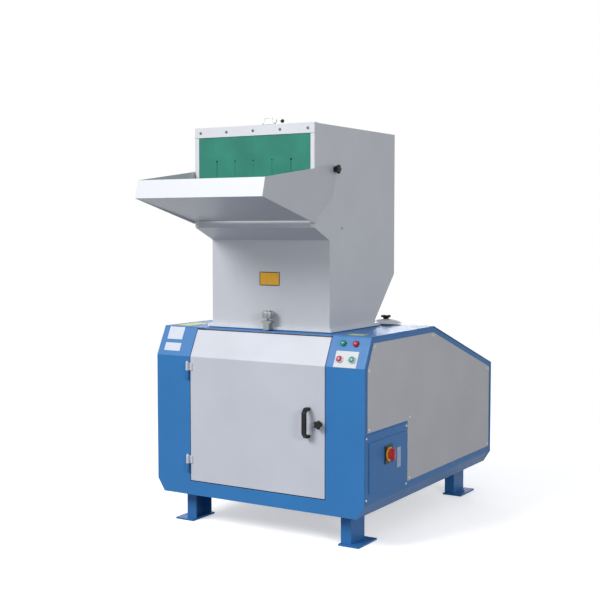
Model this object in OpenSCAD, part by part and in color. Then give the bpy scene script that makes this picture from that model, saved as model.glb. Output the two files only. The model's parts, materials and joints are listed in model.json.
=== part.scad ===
// Plastic granulator: a low sheet steel cabinet on four channel feet holds a cutting chamber
// with a three-row rotor, a belt drive and a granulate bin behind a front door. A tilting
// hopper with a curtained mouth and a fold-up feed tray stands on the deck.
// Lengths are millimetres. The front face is y = 0 inside the modules, the floor is z = 0.

/* [Cabinet] */
// Width of the cabinet across the front
cabinet_w = 1060; // [1000:2:1300]
// Length of the cabinet from the front face to the back
cabinet_l = 1360; // [1200:2:1640]
// Height of the cabinet's underside over the floor
foot_h = 139; // [110:0.2:170]
// Height of the deck over the cabinet's underside
deck_h = 746; // [700:0.2:900]
// Height of the sloped control strip at the top of the front
slant_h = 126; // [100:1:160]
// How far the control strip leans back
slant_run = 62.5; // [50:0.5:80]
// Length of the level deck behind the control strip
deck_l = 601.5; // [590:0.5:640]
// How far the rear slope drops from the deck to the back
slope_drop = 235; // [150:1:300]
// Thickness of the cabinet's sheet steel
sheet = 3; // [2:0.5:5]
// Thickness of the deck plate
deck_t = 5; // [4:0.5:8]
// Width of the chamfer along each bottom edge
chamfer_w = 36; // [20:1:45]
// Height of the chamfer along each bottom edge
chamfer_h = 56; // [40:1:70]

/* [Door] */
// Width of the blue column on each side of the door opening
column_w = 182; // [176:0.2:220]
// Height of the rail under the door opening
rail_h = 62; // [50:1:80]
// Gap between the door and its opening
door_gap = 4; // [3.5:0.5:6]
// Depth of the door's folded edges
door_edge = 20; // [14:1:22]
// Height of the door handle's middle over the floor
handle_z = 520; // [430:1:600]

/* [Cutting chamber] */
// Space beside the chamber for the drive, on each side
drive_w = 230; // [225:1:280]
// Distance from the front face to the chamber's opening
chamber_y = 113; // [110:1:125]
// Length of the chamber's opening, front to back
chamber_l = 412; // [400:1:440]
// Radius of the circle that the rotor blades cut
cut_r = 150; // [125:1:180]
// Height of the deck over the circle that the blades cut
rotor_cover = 10; // [5:1:30]
// Number of blade rows around the rotor
blade_rows = 3; // [2:1:4]
// Number of blades along the rotor
blade_count = 5; // [3:1:6]
// Diameter of the holes in the screen
screen_hole_d = 14; // [10:1:18]

/* [Hopper] */
// Depth of the hopper box from the mouth back
hopper_l = 725.7; // [700:1:760]
// Height of the hopper over its flange
hopper_h = 855; // [780:5:950]
// Height of the neck in front, over the flange
neck_h = 374; // [340:2:420]
// Height of the mouth opening
mouth_h = 396; // [360:2:440]
// How far the mouth stands in front of the neck
mouth_out = 123.7; // [100:1:130]
// Thickness of the hopper's sheet steel
hopper_t = 3; // [2:0.5:4]
// Length of the feed tray from its hinge to the lip
tray_l = 405; // [360:1:410]
// Slope of the feed tray in degrees
tray_slope = 13; // [8:1:16]
// Height of the tray's lip
lip_h = 76.5; // [50:1:80]
// Number of flaps in the curtain
flap_count = 6; // [4:1:8]

/* [Drive] */
// Pitch radius of the rotor pulley
pulley_r = 135; // [112:0.5:140]
// Pitch radius of the motor pulley
motor_pulley_r = 60; // [50:1:72]
// Number of drive belts
belt_count = 3; // [2:1:3]
// Radius of the motor's body
motor_r = 112; // [93:1:120]
// Length of the motor's body
motor_l = 330; // [275:5:380]

/* [Hidden] */

// Smoothness of round parts
$fn = 48;
// Overrun that lets a cut pass its face
over = 1;
// Gap between flat faces of pieces that move
run_gap = 0.3;
// Radial clearance of a pin in its bore
pin_gap = 0.05;

// Heights over the floor and places from the front face
half_w = cabinet_w / 2;
deck_z = foot_h + deck_h;
fold_z = deck_z - slant_h;
deck_end = slant_run + deck_l;
rear_z = deck_z - slope_drop;
chamber_w = cabinet_w - 2 * drive_w;
chamber_end = chamber_y + chamber_l;
rotor_y = chamber_y + chamber_l / 2;
rotor_drop = cut_r + rotor_cover;
rotor_z = deck_z - rotor_drop;
slant_rise = slant_run / slant_h;
slant_angle = atan(slant_rise);

// Feet: channels on plates with one anchor hole each
foot_l = 120;
foot_d = 49;
foot_wall = 6;
foot_x = 426;
plate_w = 97;
plate_l = 166;
plate_t = 8;
anchor_r = 7;
anchor_x = 450;
foot_room = 68;
foot_front_y = 140;
foot_rear_inset = 156;
foot_rear_y = cabinet_l - foot_rear_inset;
foot_shift = half_w - foot_room - chamfer_w - foot_x;
origin_y = (foot_front_y + foot_rear_y) / 2;

// Geometry helpers

// Points of an arc
function arc(centre, r, from, to, steps) =
    [for (i = [0:steps]) let (a = from + (to - from) * i / steps) centre + r * [cos(a), sin(a)]];
// The point at radius r and angle a
function polar(r, a) = r * [cos(a), sin(a)];
// Unit vector from one point to another
function unit(a, b) = (b - a) / norm(b - a);
// A closed outline, anticlockwise, moved inwards
function inset(points, d) = let (n = len(points)) [for (i = [0:n - 1])
    let (u = unit(points[(i + n - 1) % n], points[i]),
        v = unit(points[i], points[(i + 1) % n]),
        p = [-u.y, u.x],
        q = [-v.y, v.x])
    points[i] + d * (p + q) / (1 + p * q)];
// The order of a list turned round
function turned(points) = [for (i = [len(points) - 1:-1:0]) points[i]];
// Mirrors an outline to the other side of a line u = c
function flipped(points, c) = [for (p = points) [2 * c - p.x, p.y]];
// Depth of the control strip's face at height z, moved inwards by d
function slant_y(z, d) = (z - fold_z) * slant_rise + d * sqrt(1 + slant_rise * slant_rise);
// Height of the fold, moved inwards by d
function fold_at(d) = fold_z - d * (sqrt(1 + slant_rise * slant_rise) - 1) / slant_rise;
// The front face's line from height z0 to z1, moved inwards by d
function front_line(d, z0, z1) = [[d, z0], [d, fold_at(d)], [slant_y(z1, d), z1]];
// A sheet that follows the front face between two depths
function front_band(d0, d1, z0, z1) =
    concat(turned(front_line(d0, z0, z1)), front_line(d1, z0, z1));

// Moves the front-based places so that the origin lies between the anchor holes
module placed() {
    translate([0, -origin_y, 0]) children();
}
// Runs an outline drawn as [y, z] from x0 to x1
module along_x(x0, x1) {
    translate([x0, 0, 0]) rotate([90, 0, 90]) linear_extrude(x1 - x0) children();
}
// Runs an outline drawn as [x, z] from y0 to y1
module along_y(y0, y1) {
    translate([0, y1, 0]) rotate([90, 0, 0]) linear_extrude(y1 - y0) children();
}
// Repeats a piece on the other side of the machine
module both_sides() {
    children();
    mirror([1, 0, 0]) children();
}
// Stands a piece on the control strip at x and s up from the fold, its z pointing out
module on_slant(x, s) {
    translate([x, 0, fold_z]) rotate([90 - slant_angle, 0, 0]) translate([0, s, 0]) children();
}
// A cylinder along x, centred on [y, z]
module rod_x(x0, x1, y, z, r) {
    translate([x0, y, z]) rotate([0, 90, 0]) cylinder(h = x1 - x0, r = r);
}
// A box between two corners
module block(low, high) {
    translate(low) cube(high - low);
}
// A five-lobed star knob standing on z = 0, with a stud below
module star_knob(d, h, hub_h, stud_r, stud_l, lobes = 5) {
    lobe_r_share = 0.17;
    ring_r_share = 0.33;
    hub_r_share = 0.26;
    cylinder(h = hub_h + over, r = hub_r_share * d);
    translate([0, 0, hub_h]) difference() {
        linear_extrude(h - hub_h) union() {
            circle(r = ring_r_share * d);
            for (i = [0:lobes - 1]) rotate(360 * i / lobes)
                translate([ring_r_share * d, 0]) circle(r = lobe_r_share * d, $fn = 24);
        }
        // domed top
        difference() {
            cylinder(h = h, r = d);
            translate([0, 0, -dome_sink_share * d]) sphere(r = dome_share * d);
        }
    }
    translate([0, 0, -stud_l]) cylinder(h = stud_l + over, r = stud_r, $fn = 24);
}
dome_share = 0.78;
dome_sink_share = 0.28;

// Cabinet

// Side view of the cabinet, anticlockwise from the bottom front
side_outline = [[0, foot_h], [cabinet_l, foot_h], [cabinet_l, rear_z], [deck_end, deck_z],
    [slant_run, deck_z], [0, fold_z]];
// Section across the cabinet: sides, chamfers and bottom
function cross_outline(w) = [[-w, deck_z], [-w, foot_h + chamfer_h], [-w + chamfer_w, foot_h],
    [w - chamfer_w, foot_h], [w, foot_h + chamfer_h], [w, deck_z]];
door_open_w = cabinet_w - 2 * column_w;
door_w = door_open_w - 2 * door_gap;
rail_z = foot_h + rail_h;
jamb_d = 40;
stop_w = 30;
stop_y = 24;
door_knob_d = 40;
door_knob_in = 21;
door_knob_x = door_w / 2 - door_knob_in;
door_stud_r = 4;
stud_play = 1.5;
door_top_gap = 6;
door_top_z = deck_z - deck_t - door_top_gap;
door_low_z = rail_z + door_gap;
button_r = 13.2;
button_gap = 0.3;
button_s = 35;
lamp_s = 106;
lamp_r = 12.4;
panel_in = 28;
panel_lap = 18;
panel_t = 2;
panel_low = 31;
cover_y0 = 5;
cover_y1 = 398;
cover_low = 10;
cover_h_share = 0.478;
cover_h = (rotor_z - foot_h) * cover_h_share;
cover_z0 = foot_h + chamfer_h + cover_low;
cover_z1 = cover_z0 + cover_h;
notch_gap = 8;
knob_drop = 3;
knob_low_z = handle_z - knob_drop;

// Cuts the chamfers along both bottom edges off whatever it holds
module chamfered() {
    intersection() {
        children();
        along_y(-over, cabinet_l + over) polygon(cross_outline(half_w));
    }
}
// Front sheet with the door opening, its jambs and the door's stops
module front_frame() color([0.29, 0.51, 0.76]) placed() {
    top = deck_z - deck_t;
    difference() {
        chamfered() union() {
            both_sides() {
                along_x(door_open_w / 2, half_w) polygon(front_band(0, sheet, foot_h, top));
                along_x(door_open_w / 2, door_open_w / 2 + sheet)
                    polygon(front_band(sheet, jamb_d, rail_z, top));
                along_x(door_open_w / 2 - stop_w, door_open_w / 2 + sheet)
                    polygon(front_band(stop_y, stop_y + sheet, rail_z, door_top_z - deck_t));
            }
            block([-half_w, 0, foot_h], [half_w, sheet, rail_z]);
        }
        for (x = [stop_x, start_x])
            on_slant(x, button_s) cylinder(h = 4 * sheet, r = button_r + button_gap, center = true);
        for (x = [stop_x, start_x])
            on_slant(x, lamp_s) cylinder(h = 4 * sheet, r = lamp_r + button_gap, center = true);
        translate([door_knob_x, 0, knob_low_z]) rotate([-90, 0, 0])
            cylinder(h = jamb_d, r = door_stud_r + stud_play);
    }
}
// Places of the controls on the right column
control_in = 93.5;
control_half = 29.5;
control_x = half_w - control_in;
stop_x = control_x - control_half;
start_x = control_x + control_half;

cable_r = 30;

// Side walls, chamfers and bottom in one folded sheet, with openings behind the side panels
module base_frame() color([0.25, 0.42, 0.66]) placed() {
    skin = sheet + panel_t;
    wall = half_w - panel_t;
    difference() {
        intersection() {
            along_y(sheet, cabinet_l - panel_t) difference() {
                polygon(cross_outline(wall));
                polygon(inner_cross(wall));
            }
            along_x(-half_w, half_w) polygon([[sheet, foot_h], [cabinet_l - panel_t, foot_h],
                inset(side_outline, panel_t)[2], [deck_end, deck_z - deck_t],
                [slant_y(deck_z - deck_t, sheet), deck_z - deck_t], [sheet, fold_at(sheet)]]);
        }
        // opening behind the left panel
        along_x(-half_w - over, -wall + skin) polygon(panel_window(panel_in + panel_lap));
        // openings behind the right panel and the electrical cover
        along_x(wall - skin, half_w + over) difference() {
            polygon(panel_window(panel_in + panel_lap));
            translate([0, foot_h]) square([cover_y1 + notch_gap + panel_lap,
                cover_z1 + notch_gap + panel_lap - foot_h]);
        }
        block([wall - skin, cover_y0 + panel_lap, cover_z0 + panel_lap],
            [half_w + over, cover_y1 - panel_lap, cover_z1 - panel_lap]);
        // cable entry in the bottom
        translate([0, cabinet_l - foot_rear_inset, foot_h - over])
            cylinder(h = sheet + 2 * over, r = cable_r);
    }
}
// Inner line of the cross section, open at the top
function inner_cross(w) = concat([[-w + sheet, deck_z + over]],
    [for (i = [1:4]) inset(concat(cross_outline(w), [[w, deck_z + sheet], [-w, deck_z + sheet]]),
        sheet)[i]],
    [[w - sheet, deck_z + over]]);
// The side outline moved inwards, with the panel's own bottom edge
function panel_window(d) = let (p = inset(side_outline, d),
    low = foot_h + chamfer_h + panel_low + d - panel_in)
    [[p[0].x, low], [p[1].x, low], p[2], p[3], p[4], p[5]];

// Channel feet on plates with an anchor hole each
module feet() color([0.24, 0.38, 0.6]) placed() {
    for (y = [foot_front_y, foot_rear_y]) both_sides() translate([foot_shift, y, 0]) {
        difference() {
            block([foot_x - foot_d, -plate_l / 2, 0], [foot_x - foot_d + plate_w, plate_l / 2, plate_t]);
            translate([anchor_x, 0, -over]) cylinder(h = plate_t + 2 * over, r = anchor_r);
        }
        translate([0, 0, plate_t]) linear_extrude(foot_h - plate_t) difference() {
            translate([foot_x - foot_d, -foot_l / 2]) square([foot_d, foot_l]);
            translate([foot_x - foot_d - over, -foot_l / 2 + foot_wall])
                square([foot_d - foot_wall + over, foot_l - 2 * foot_wall]);
        }
    }
}

// Rim that the hopper's flange rests over, and its gap
rim_w = 12;
rim_h = 3.7;
flange_gap = 4;
flange_t = 13;
flange_lip = 16;
hinge_behind = 27;
hinge_rise = 18;
hinge_y = chamber_end + hinge_behind;
hinge_z = deck_z + hinge_rise;
// Axis of the clamp screw
clamp_x = 14;
clamp_y = 80;
clamp_r = 6;
clamp_play = 0.6;
// Centre of the disc that holds the rear cover down
disc_x = chamber_w / 2;
disc_in = 24;
disc_y = deck_end - disc_in;
disc_stem_r = 22;
module deck_plate() color([0.3, 0.47, 0.73]) placed() {
    difference() {
        union() {
            along_x(-half_w, half_w) polygon([[slant_y(deck_z - deck_t, 0), deck_z - deck_t],
                [deck_end, deck_z - deck_t], [deck_end, deck_z], [slant_run, deck_z]]);
            block([-chamber_w / 2 - rim_w, chamber_y - rim_w, deck_z],
                [chamber_w / 2 + rim_w, chamber_end + rim_w, deck_z + rim_h]);
        }
        block([-chamber_w / 2, chamber_y, deck_z - deck_t - over],
            [chamber_w / 2, chamber_end, deck_z + rim_h + over]);
        translate([clamp_x, clamp_y, deck_z - 2 * deck_t])
            cylinder(h = 3 * deck_t, r = clamp_r + clamp_play);
        translate([disc_x, disc_y, deck_z - 2 * deck_t])
            cylinder(h = 3 * deck_t, r = disc_bolt_r + pin_gap);
    }
}
disc_bolt_r = 6;

// Louvred cover over the rear slope and the back
louvre_w = 130;
louvre_h = 7;
louvre_step = 24;
louvre_rows = 7;
module rear_cover() color([0.27, 0.42, 0.66]) placed() {
    inner = inset(side_outline, panel_t);
    difference() {
        chamfered() along_x(-half_w, half_w) polygon([[cabinet_l, foot_h], [cabinet_l, rear_z],
            [deck_end, deck_z], [deck_end, deck_z - panel_t * over_slope], inner[2],
            [cabinet_l - panel_t, foot_h]]);
        for (side = [-1, 1]) for (i = [0:louvre_rows - 1])
            translate([side * louvre_w - louvre_w / 2, cabinet_l - 2 * panel_t,
                foot_h + deck_h * louvre_z_share + i * louvre_step])
                cube([louvre_w, 3 * panel_t, louvre_h]);
    }
}
louvre_z_share = 0.2;
over_slope = norm([cabinet_l - deck_end, slope_drop]) / (cabinet_l - deck_end);

// Grey side panels, screwed on over the side openings
module left_side_panel() color([0.58, 0.58, 0.6]) placed() {
    along_x(-half_w, -half_w + panel_t) polygon(panel_window(panel_in));
}
module right_side_panel() color([0.58, 0.58, 0.6]) placed() {
    along_x(half_w - panel_t, half_w) difference() {
        polygon(panel_window(panel_in));
        translate([0, foot_h]) square([cover_y1 + notch_gap / 4, cover_z1 + notch_gap - foot_h]);
    }
}
// Button-headed screws of the side panels and the electrical cover
screw_r = 5;
screw_h = 2.5;
screw_in = 13;
module side_screw(p) {
    translate([half_w, p.x, p.y]) rotate([0, 90, 0]) cylinder(h = screw_h, r1 = screw_r,
        r2 = screw_r * screw_top_share, $fn = 24);
}
screw_top_share = 0.6;
module panel_screws() color([0.45, 0.47, 0.5]) placed() {
    corners = panel_window(panel_in + screw_in);
    for (i = [1:5]) side_screw(corners[i]);
    side_screw([cover_y1 + screw_in + notch_gap, corners[0].y]);
    side_screw([cover_y1 + screw_in + notch_gap, cover_z1 + screw_in + notch_gap]);
    side_screw([corners[0].x, cover_z1 + screw_in + notch_gap]);
    for (y = [cover_y0 + screw_in, cover_y1 - screw_in])
        for (z = [cover_z0 + screw_in, cover_z1 - screw_in]) side_screw([y, z]);
    mirror([1, 0, 0]) for (i = [0:5]) side_screw(corners[i]);
}

// Electrical box behind a raised cover
box_d = 172;
box_t = 2;
pan_in = 34;
pan_h = 3;
isolator_y = 210;
isolator_z_share = 0.62;
isolator_z = cover_z0 + cover_h * isolator_z_share;
isolator_r = 8;
module electrical_box() color([0.6, 0.62, 0.64]) placed() {
    out = half_w - panel_t - sheet;
    difference() {
        block([out - box_d, cover_y0 + panel_lap / 2, cover_z0 + panel_lap / 2],
            [out, cover_y1 - panel_lap / 2, cover_z1 - panel_lap / 2]);
        block([out - box_d + box_t, cover_y0 + panel_lap / 2 + box_t, cover_z0 + panel_lap / 2 + box_t],
            [out + over, cover_y1 - panel_lap / 2 - box_t, cover_z1 - panel_lap / 2 - box_t]);
    }
}
module electrical_cover() color([0.27, 0.4, 0.62]) placed() {
    difference() {
        union() {
            block([half_w - panel_t, cover_y0, cover_z0], [half_w, cover_y1, cover_z1]);
            block([half_w, cover_y0 + pan_in, cover_z0 + pan_in],
                [half_w + pan_h, cover_y1 - pan_in, cover_z1 - pan_in]);
        }
        block([half_w - panel_t - over, cover_y0 + pan_in + box_t, cover_z0 + pan_in + box_t],
            [half_w + pan_h - box_t, cover_y1 - pan_in - box_t, cover_z1 - pan_in - box_t]);
        rod_x(half_w - over, half_w + 2 * pan_h, isolator_y, isolator_z, isolator_r + button_gap);
    }
}
// Contactors, overload relay and transformer on a rail at the back of the box
rail_w = 35;
rail_t = 8;
module contactor_rail() color([0.75, 0.76, 0.74]) placed() {
    back = half_w - panel_t - sheet - box_d + box_t;
    y0 = cover_y0 + 2 * panel_lap;
    y1 = cover_y1 - 2 * panel_lap;
    span = y1 - y0;
    block([back, y0, isolator_z - rail_w / 2], [back + rail_t, y1, isolator_z + rail_w / 2]);
    for (s = contactor_share) translate([back + rail_t, y0 + span * s, isolator_z - span * gear_h_share / 2])
        union() {
            cube([span * gear_d_share, span * gear_w_share, span * gear_h_share]);
            translate([span * gear_d_share, 0, span * gear_h_share / 4])
                cube([span * gear_d_share / 4, span * gear_w_share, span * gear_h_share / 2]);
        }
}
contactor_share = [0.06, 0.24, 0.5, 0.76];
gear_d_share = 0.22;
gear_w_share = 0.14;
gear_h_share = 0.26;

// Isolator: black plate with a ring, and the red handle that turns in it
isolator_w = 70;
isolator_h = 76;
isolator_t = 4;
isolator_ring_r = 30;
isolator_ring_h = 4;
grip_l = 50;
grip_w = 13;
grip_h = 24;
module isolator_plate() color([0.12, 0.12, 0.13]) placed() {
    face = half_w + pan_h;
    difference() {
        union() {
            block([face, isolator_y - isolator_w / 2, isolator_z - isolator_h / 2],
                [face + isolator_t, isolator_y + isolator_w / 2, isolator_z + isolator_h / 2]);
            rod_x(face + isolator_t, face + isolator_t + isolator_ring_h, isolator_y, isolator_z,
                isolator_ring_r);
        }
        rod_x(face - over, face + 2 * isolator_t + isolator_ring_h, isolator_y, isolator_z,
            isolator_r + pin_gap);
    }
}
module isolator_handle() color([0.78, 0.1, 0.1]) placed() {
    face = half_w + pan_h + isolator_t + isolator_ring_h + run_gap;
    rod_x(half_w, face + over, isolator_y, isolator_z, isolator_r);
    rod_x(face, face + isolator_t, isolator_y, isolator_z, isolator_ring_r * hub_share);
    block([face, isolator_y - grip_w / 2, isolator_z - grip_l / 2],
        [face + grip_h, isolator_y + grip_w / 2, isolator_z + grip_l / 2]);
}
hub_share = 0.68;

// Start and stop buttons and pilot lamps on the control strip
plate_span = 106;
plate_rise = 72;
collar_w = 2;
collar_h = 7;
button_travel = 4;
button_proud = 2;
stem_l = 14;
module button_plate() color([0.9, 0.9, 0.92]) placed() {
    difference() {
        union() {
            on_slant(control_x - plate_span / 2, 0) cube([plate_span, plate_rise, panel_t]);
            for (x = [stop_x, start_x])
                on_slant(x, button_s) cylinder(h = panel_t + collar_h, r = button_r + button_gap + collar_w);
        }
        for (x = [stop_x, start_x]) on_slant(x, button_s) translate([0, 0, -over])
            cylinder(h = 4 * collar_h, r = button_r + button_gap);
    }
}
module button(x) {
    on_slant(x, button_s) translate([0, 0, -stem_l])
        cylinder(h = stem_l + panel_t + collar_h + button_proud, r = button_r);
}
module stop_button() color([0.8, 0.1, 0.1]) placed() button(stop_x);
module start_button() color([0.1, 0.6, 0.25]) placed() button(start_x);
module pilot_lamp(x) {
    on_slant(x, lamp_s) {
        translate([0, 0, -stem_l]) cylinder(h = stem_l + over, r = lamp_r);
        cylinder(h = collar_h * 0.5, r = lamp_r + collar_w);
        intersection() {
            cylinder(h = 2 * collar_h, r = lamp_r);
            translate([0, 0, -lamp_r * lens_share]) sphere(r = lamp_r * (1 + lens_share));
        }
    }
}
lens_share = 0.2;
module green_lamp() color([0.1, 0.65, 0.3]) placed() pilot_lamp(stop_x);
module red_lamp() color([0.8, 0.1, 0.1]) placed() pilot_lamp(start_x);

// Door: lift-off hinges, folded panel, bridge handle and star knob
knuckle_r = 7;
hinge_pin_r = 4;
hinge_aside = 8;
hinge_x = -door_open_w / 2 - hinge_aside;
hinge_out = -8;
hinge_low_share = [0.076, 0.828];
hinge_half = 34;
leaf_t = 3;
leaf_w = 18;
leaf_gap = 0.4;
door_span = fold_z - door_low_z;
module knuckle(z0, z1, dome) {
    translate([hinge_x, hinge_out, z0]) {
        cylinder(h = z1 - z0, r = knuckle_r);
        if (dome > 0) translate([0, 0, z1 - z0]) cylinder(h = knuckle_r, r1 = knuckle_r, r2 = knuckle_r / 2);
        if (dome < 0) translate([0, 0, -knuckle_r])
            cylinder(h = knuckle_r, r1 = knuckle_r / 2, r2 = knuckle_r);
    }
}
module door_hinges() color([0.2, 0.3, 0.45]) placed() {
    for (s = hinge_low_share) let (z = door_low_z + door_span * s) union() {
        knuckle(z, z + hinge_half, -1);
        translate([hinge_x, hinge_out, z]) cylinder(h = 2 * hinge_half - leaf_t, r = hinge_pin_r);
        block([hinge_x - leaf_w, -leaf_t, z], [hinge_x, 0, z + hinge_half]);
    }
}
module door_knuckles() color([0.75, 0.76, 0.78]) placed() {
    for (s = hinge_low_share) let (z = door_low_z + door_span * s + hinge_half + run_gap)
        difference() {
            union() {
                knuckle(z, z + hinge_half, 1);
                block([hinge_x, -leaf_t - leaf_gap, z],
                    [hinge_x + leaf_w + door_gap, -leaf_gap, z + hinge_half]);
                block([-door_w / 2, -leaf_gap - over, z],
                    [hinge_x + leaf_w + door_gap, 0, z + hinge_half]);
            }
            translate([hinge_x, hinge_out, z - over])
                cylinder(h = hinge_half, r = hinge_pin_r + pin_gap);
        }
}
door_t = 2;
module door_panel() color([0.84, 0.85, 0.88]) placed() {
    difference() {
        along_x(-door_w / 2, door_w / 2) polygon(front_band(0, door_edge, door_low_z, door_top_z));
        along_x(-door_w / 2 + door_t, door_w / 2 - door_t)
            polygon(front_band(door_t, door_edge + over, door_low_z + door_t, door_top_z - door_t));
        translate([door_knob_x, -over, knob_low_z]) rotate([-90, 0, 0])
            cylinder(h = door_edge, r = door_stud_r + run_gap);
    }
}
handle_in = 77;
handle_x = door_w / 2 - handle_in;
handle_l = 128;
handle_out = 44;
handle_t = 13;
handle_w = 20;
module door_handle() color([0.1, 0.1, 0.11]) placed() {
    cut = handle_out * handle_cut_share;
    outer = [[0, -handle_l / 2], [0, handle_l / 2], [-handle_out + cut, handle_l / 2],
        [-handle_out, handle_l / 2 - cut], [-handle_out, -handle_l / 2 + cut],
        [-handle_out + cut, -handle_l / 2]];
    cut_in = cut * handle_cut_share;
    end = handle_l / 2 - handle_t;
    inner = [[over, -end], [over, end], [-handle_out + handle_t + cut_in, end],
        [-handle_out + handle_t, end - cut_in], [-handle_out + handle_t, -end + cut_in],
        [-handle_out + handle_t + cut_in, -end]];
    translate([0, 0, handle_z]) along_x(handle_x - handle_w / 2, handle_x + handle_w / 2)
        difference() {
            polygon(turned(outer));
            polygon(turned(inner));
        }
}
handle_cut_share = 0.42;
module door_knob() color([0.08, 0.08, 0.09]) placed() {
    translate([door_knob_x, -run_gap, knob_low_z]) rotate([90, 0, 0])
        star_knob(door_knob_d, door_knob_h, door_knob_h / 2, door_stud_r, stop_y + 3 * sheet);
}
door_knob_h = 30;

// Disc and knob that hold the rear cover down
disc_r = 70;
disc_h = 20;
disc_stem_h = 6;
disc_knob_h = 18;
module hold_down_disc() color([0.92, 0.92, 0.92]) placed() {
    translate([disc_x, disc_y, deck_z]) difference() {
        rotate_extrude($fn = 72) polygon(concat([[0, 0], [disc_stem_r, 0], [disc_stem_r, disc_stem_h],
            [disc_r, disc_stem_h], [disc_r, disc_stem_h * 1.5]],
            [for (a = disc_dome_share) [disc_r * a, disc_stem_h * 1.5 + disc_h * (1 - a * a) * 0.8]]));
        translate([0, 0, -over]) cylinder(h = 2 * disc_h + over, r = disc_bolt_r + pin_gap);
    }
}
disc_dome_share = [0.85, 0.68, 0.5, 0.34, 0];
module hold_down_knob() color([0.08, 0.08, 0.09]) placed() {
    top = disc_stem_h * 1.5 + disc_h * 0.8;
    translate([disc_x, disc_y, deck_z + top + run_gap])
        star_knob(disc_knob_d, disc_knob_h, disc_knob_h / 3, disc_bolt_r, top + 2 * deck_t, 7);
}
disc_knob_d = 48;

// Cutting chamber

side_t = 25;
bed_t = 25;
seat_gap = 0.1;
shaft_r = 35;
journal_r = 30;
sweep_gap = 3;
screen_gap = 8;
screen_r = cut_r + screen_gap;
screen_t = 6;
rib_h = 12;
cradle_r = screen_r + screen_t + rib_h;
bed_low = 35;
shaft_gap = 4;
side_hole_r = shaft_r + shaft_gap;
knife_l = 75;
knife_t = 20;
knife_gap = 0.6;
knife_rise = 10;
knife_tilt = 15;
rear_knife_turn = 190;
pivot_l = 20;
chamber_low = rotor_z - cradle_r;
chamber_out_y = chamber_y - bed_t;
module chamber_sides() color([0.5, 0.52, 0.55]) placed() {
    both_sides() rod_x(chamber_w / 2 - pivot_l, chamber_w / 2 + over, cradle_hinge_y, cradle_hinge_z,
        cradle_pin_r);
    both_sides() difference() {
        along_x(chamber_w / 2, chamber_w / 2 + side_t) union() {
            translate([cradle_hinge_y, cradle_hinge_z]) circle(r = 2 * cradle_pin_r);
            translate([chamber_out_y, rotor_z - bed_low])
                square([chamber_l + 2 * bed_t, rotor_drop - deck_t + bed_low]);
            translate([rotor_y, rotor_z]) difference() {
                circle(r = cradle_r, $fn = 96);
                translate([-2 * cradle_r, 0]) square(4 * cradle_r);
            }
        }
        rod_x(chamber_w / 2 - over, chamber_w / 2 + side_t + over, rotor_y, rotor_z, side_hole_r);
    }
}
// A fixed knife's section about the rotor axis, cutting edge on the rotor's circle
module knife_section(clear) {
    rotate(180 - knife_rise) translate([cut_r + knife_gap, 0]) rotate(-knife_tilt + knife_rise)
        translate([-clear, -clear]) square([knife_l + 2 * clear, knife_t + 2 * clear]);
}
module knife_beds() color([0.45, 0.47, 0.5]) placed() {
    bed = [[chamber_out_y, deck_z - deck_t], [chamber_out_y, rotor_z - bed_low],
        [rotor_y - cut_r, rotor_z - bed_low], [rotor_y - cut_r, rotor_z + bed_low],
        [chamber_y, rotor_z + bed_low * 2], [chamber_y, deck_z - deck_t]];
    for (side = [0, 1]) difference() {
        along_x(-chamber_w / 2, chamber_w / 2) difference() {
            polygon(side == 0 ? bed : turned(flipped(bed, rotor_y)));
            translate([rotor_y, rotor_z]) rotate(side * rear_knife_turn) knife_section(seat_gap);
        }
        rod_x(-half_w, half_w, rotor_y, rotor_z, cut_r + sweep_gap, $fn = 96);
    }
}
module fixed_knives() color([0.72, 0.73, 0.75]) placed() {
    for (turn = [0, rear_knife_turn])
        along_x(-chamber_w / 2 + run_gap, chamber_w / 2 - run_gap)
            translate([rotor_y, rotor_z]) rotate(turn) knife_section(0);
}

// Rotor: stepped shaft, body of three-armed segments, and a blade on each arm
bearing_in = 40;
bearing_w = 60;
pulley_face = 48;
shaft_gap_x = 30;
shaft_end = half_w - sheet - panel_t - shaft_gap_x;
pulley_x = shaft_end - pulley_face;
end_gap = 3;
bearing_lip = 5;
segment_w = (chamber_w - 2 * end_gap) / blade_count;
segment_turn = 14;
arm_half = 30;
blade_t = 18;
blade_seat = 22;
blade_r0_share = 0.59;
hub_r_share = 0.52;
arm_r_share = 0.84;
relief_share = 0.96;
journal_x = chamber_w / 2 + bearing_in - bearing_lip;
seat_r = 27.5;
module turned_x() {
    translate([0, rotor_y, rotor_z]) rotate([0, 90, 0]) children();
}
module rotor_shaft() color([0.6, 0.61, 0.63]) placed() {
    turned_x() rotate_extrude($fn = 64) polygon([[0, -shaft_end], [seat_r, -shaft_end],
        [seat_r, -pulley_x + over], [journal_r, -pulley_x + over], [journal_r, -journal_x],
        [shaft_r, -journal_x], [shaft_r, journal_x], [journal_r, journal_x],
        [journal_r, pulley_x - over], [seat_r, pulley_x - over], [seat_r, shaft_end],
        [0, shaft_end]]);
}
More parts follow.
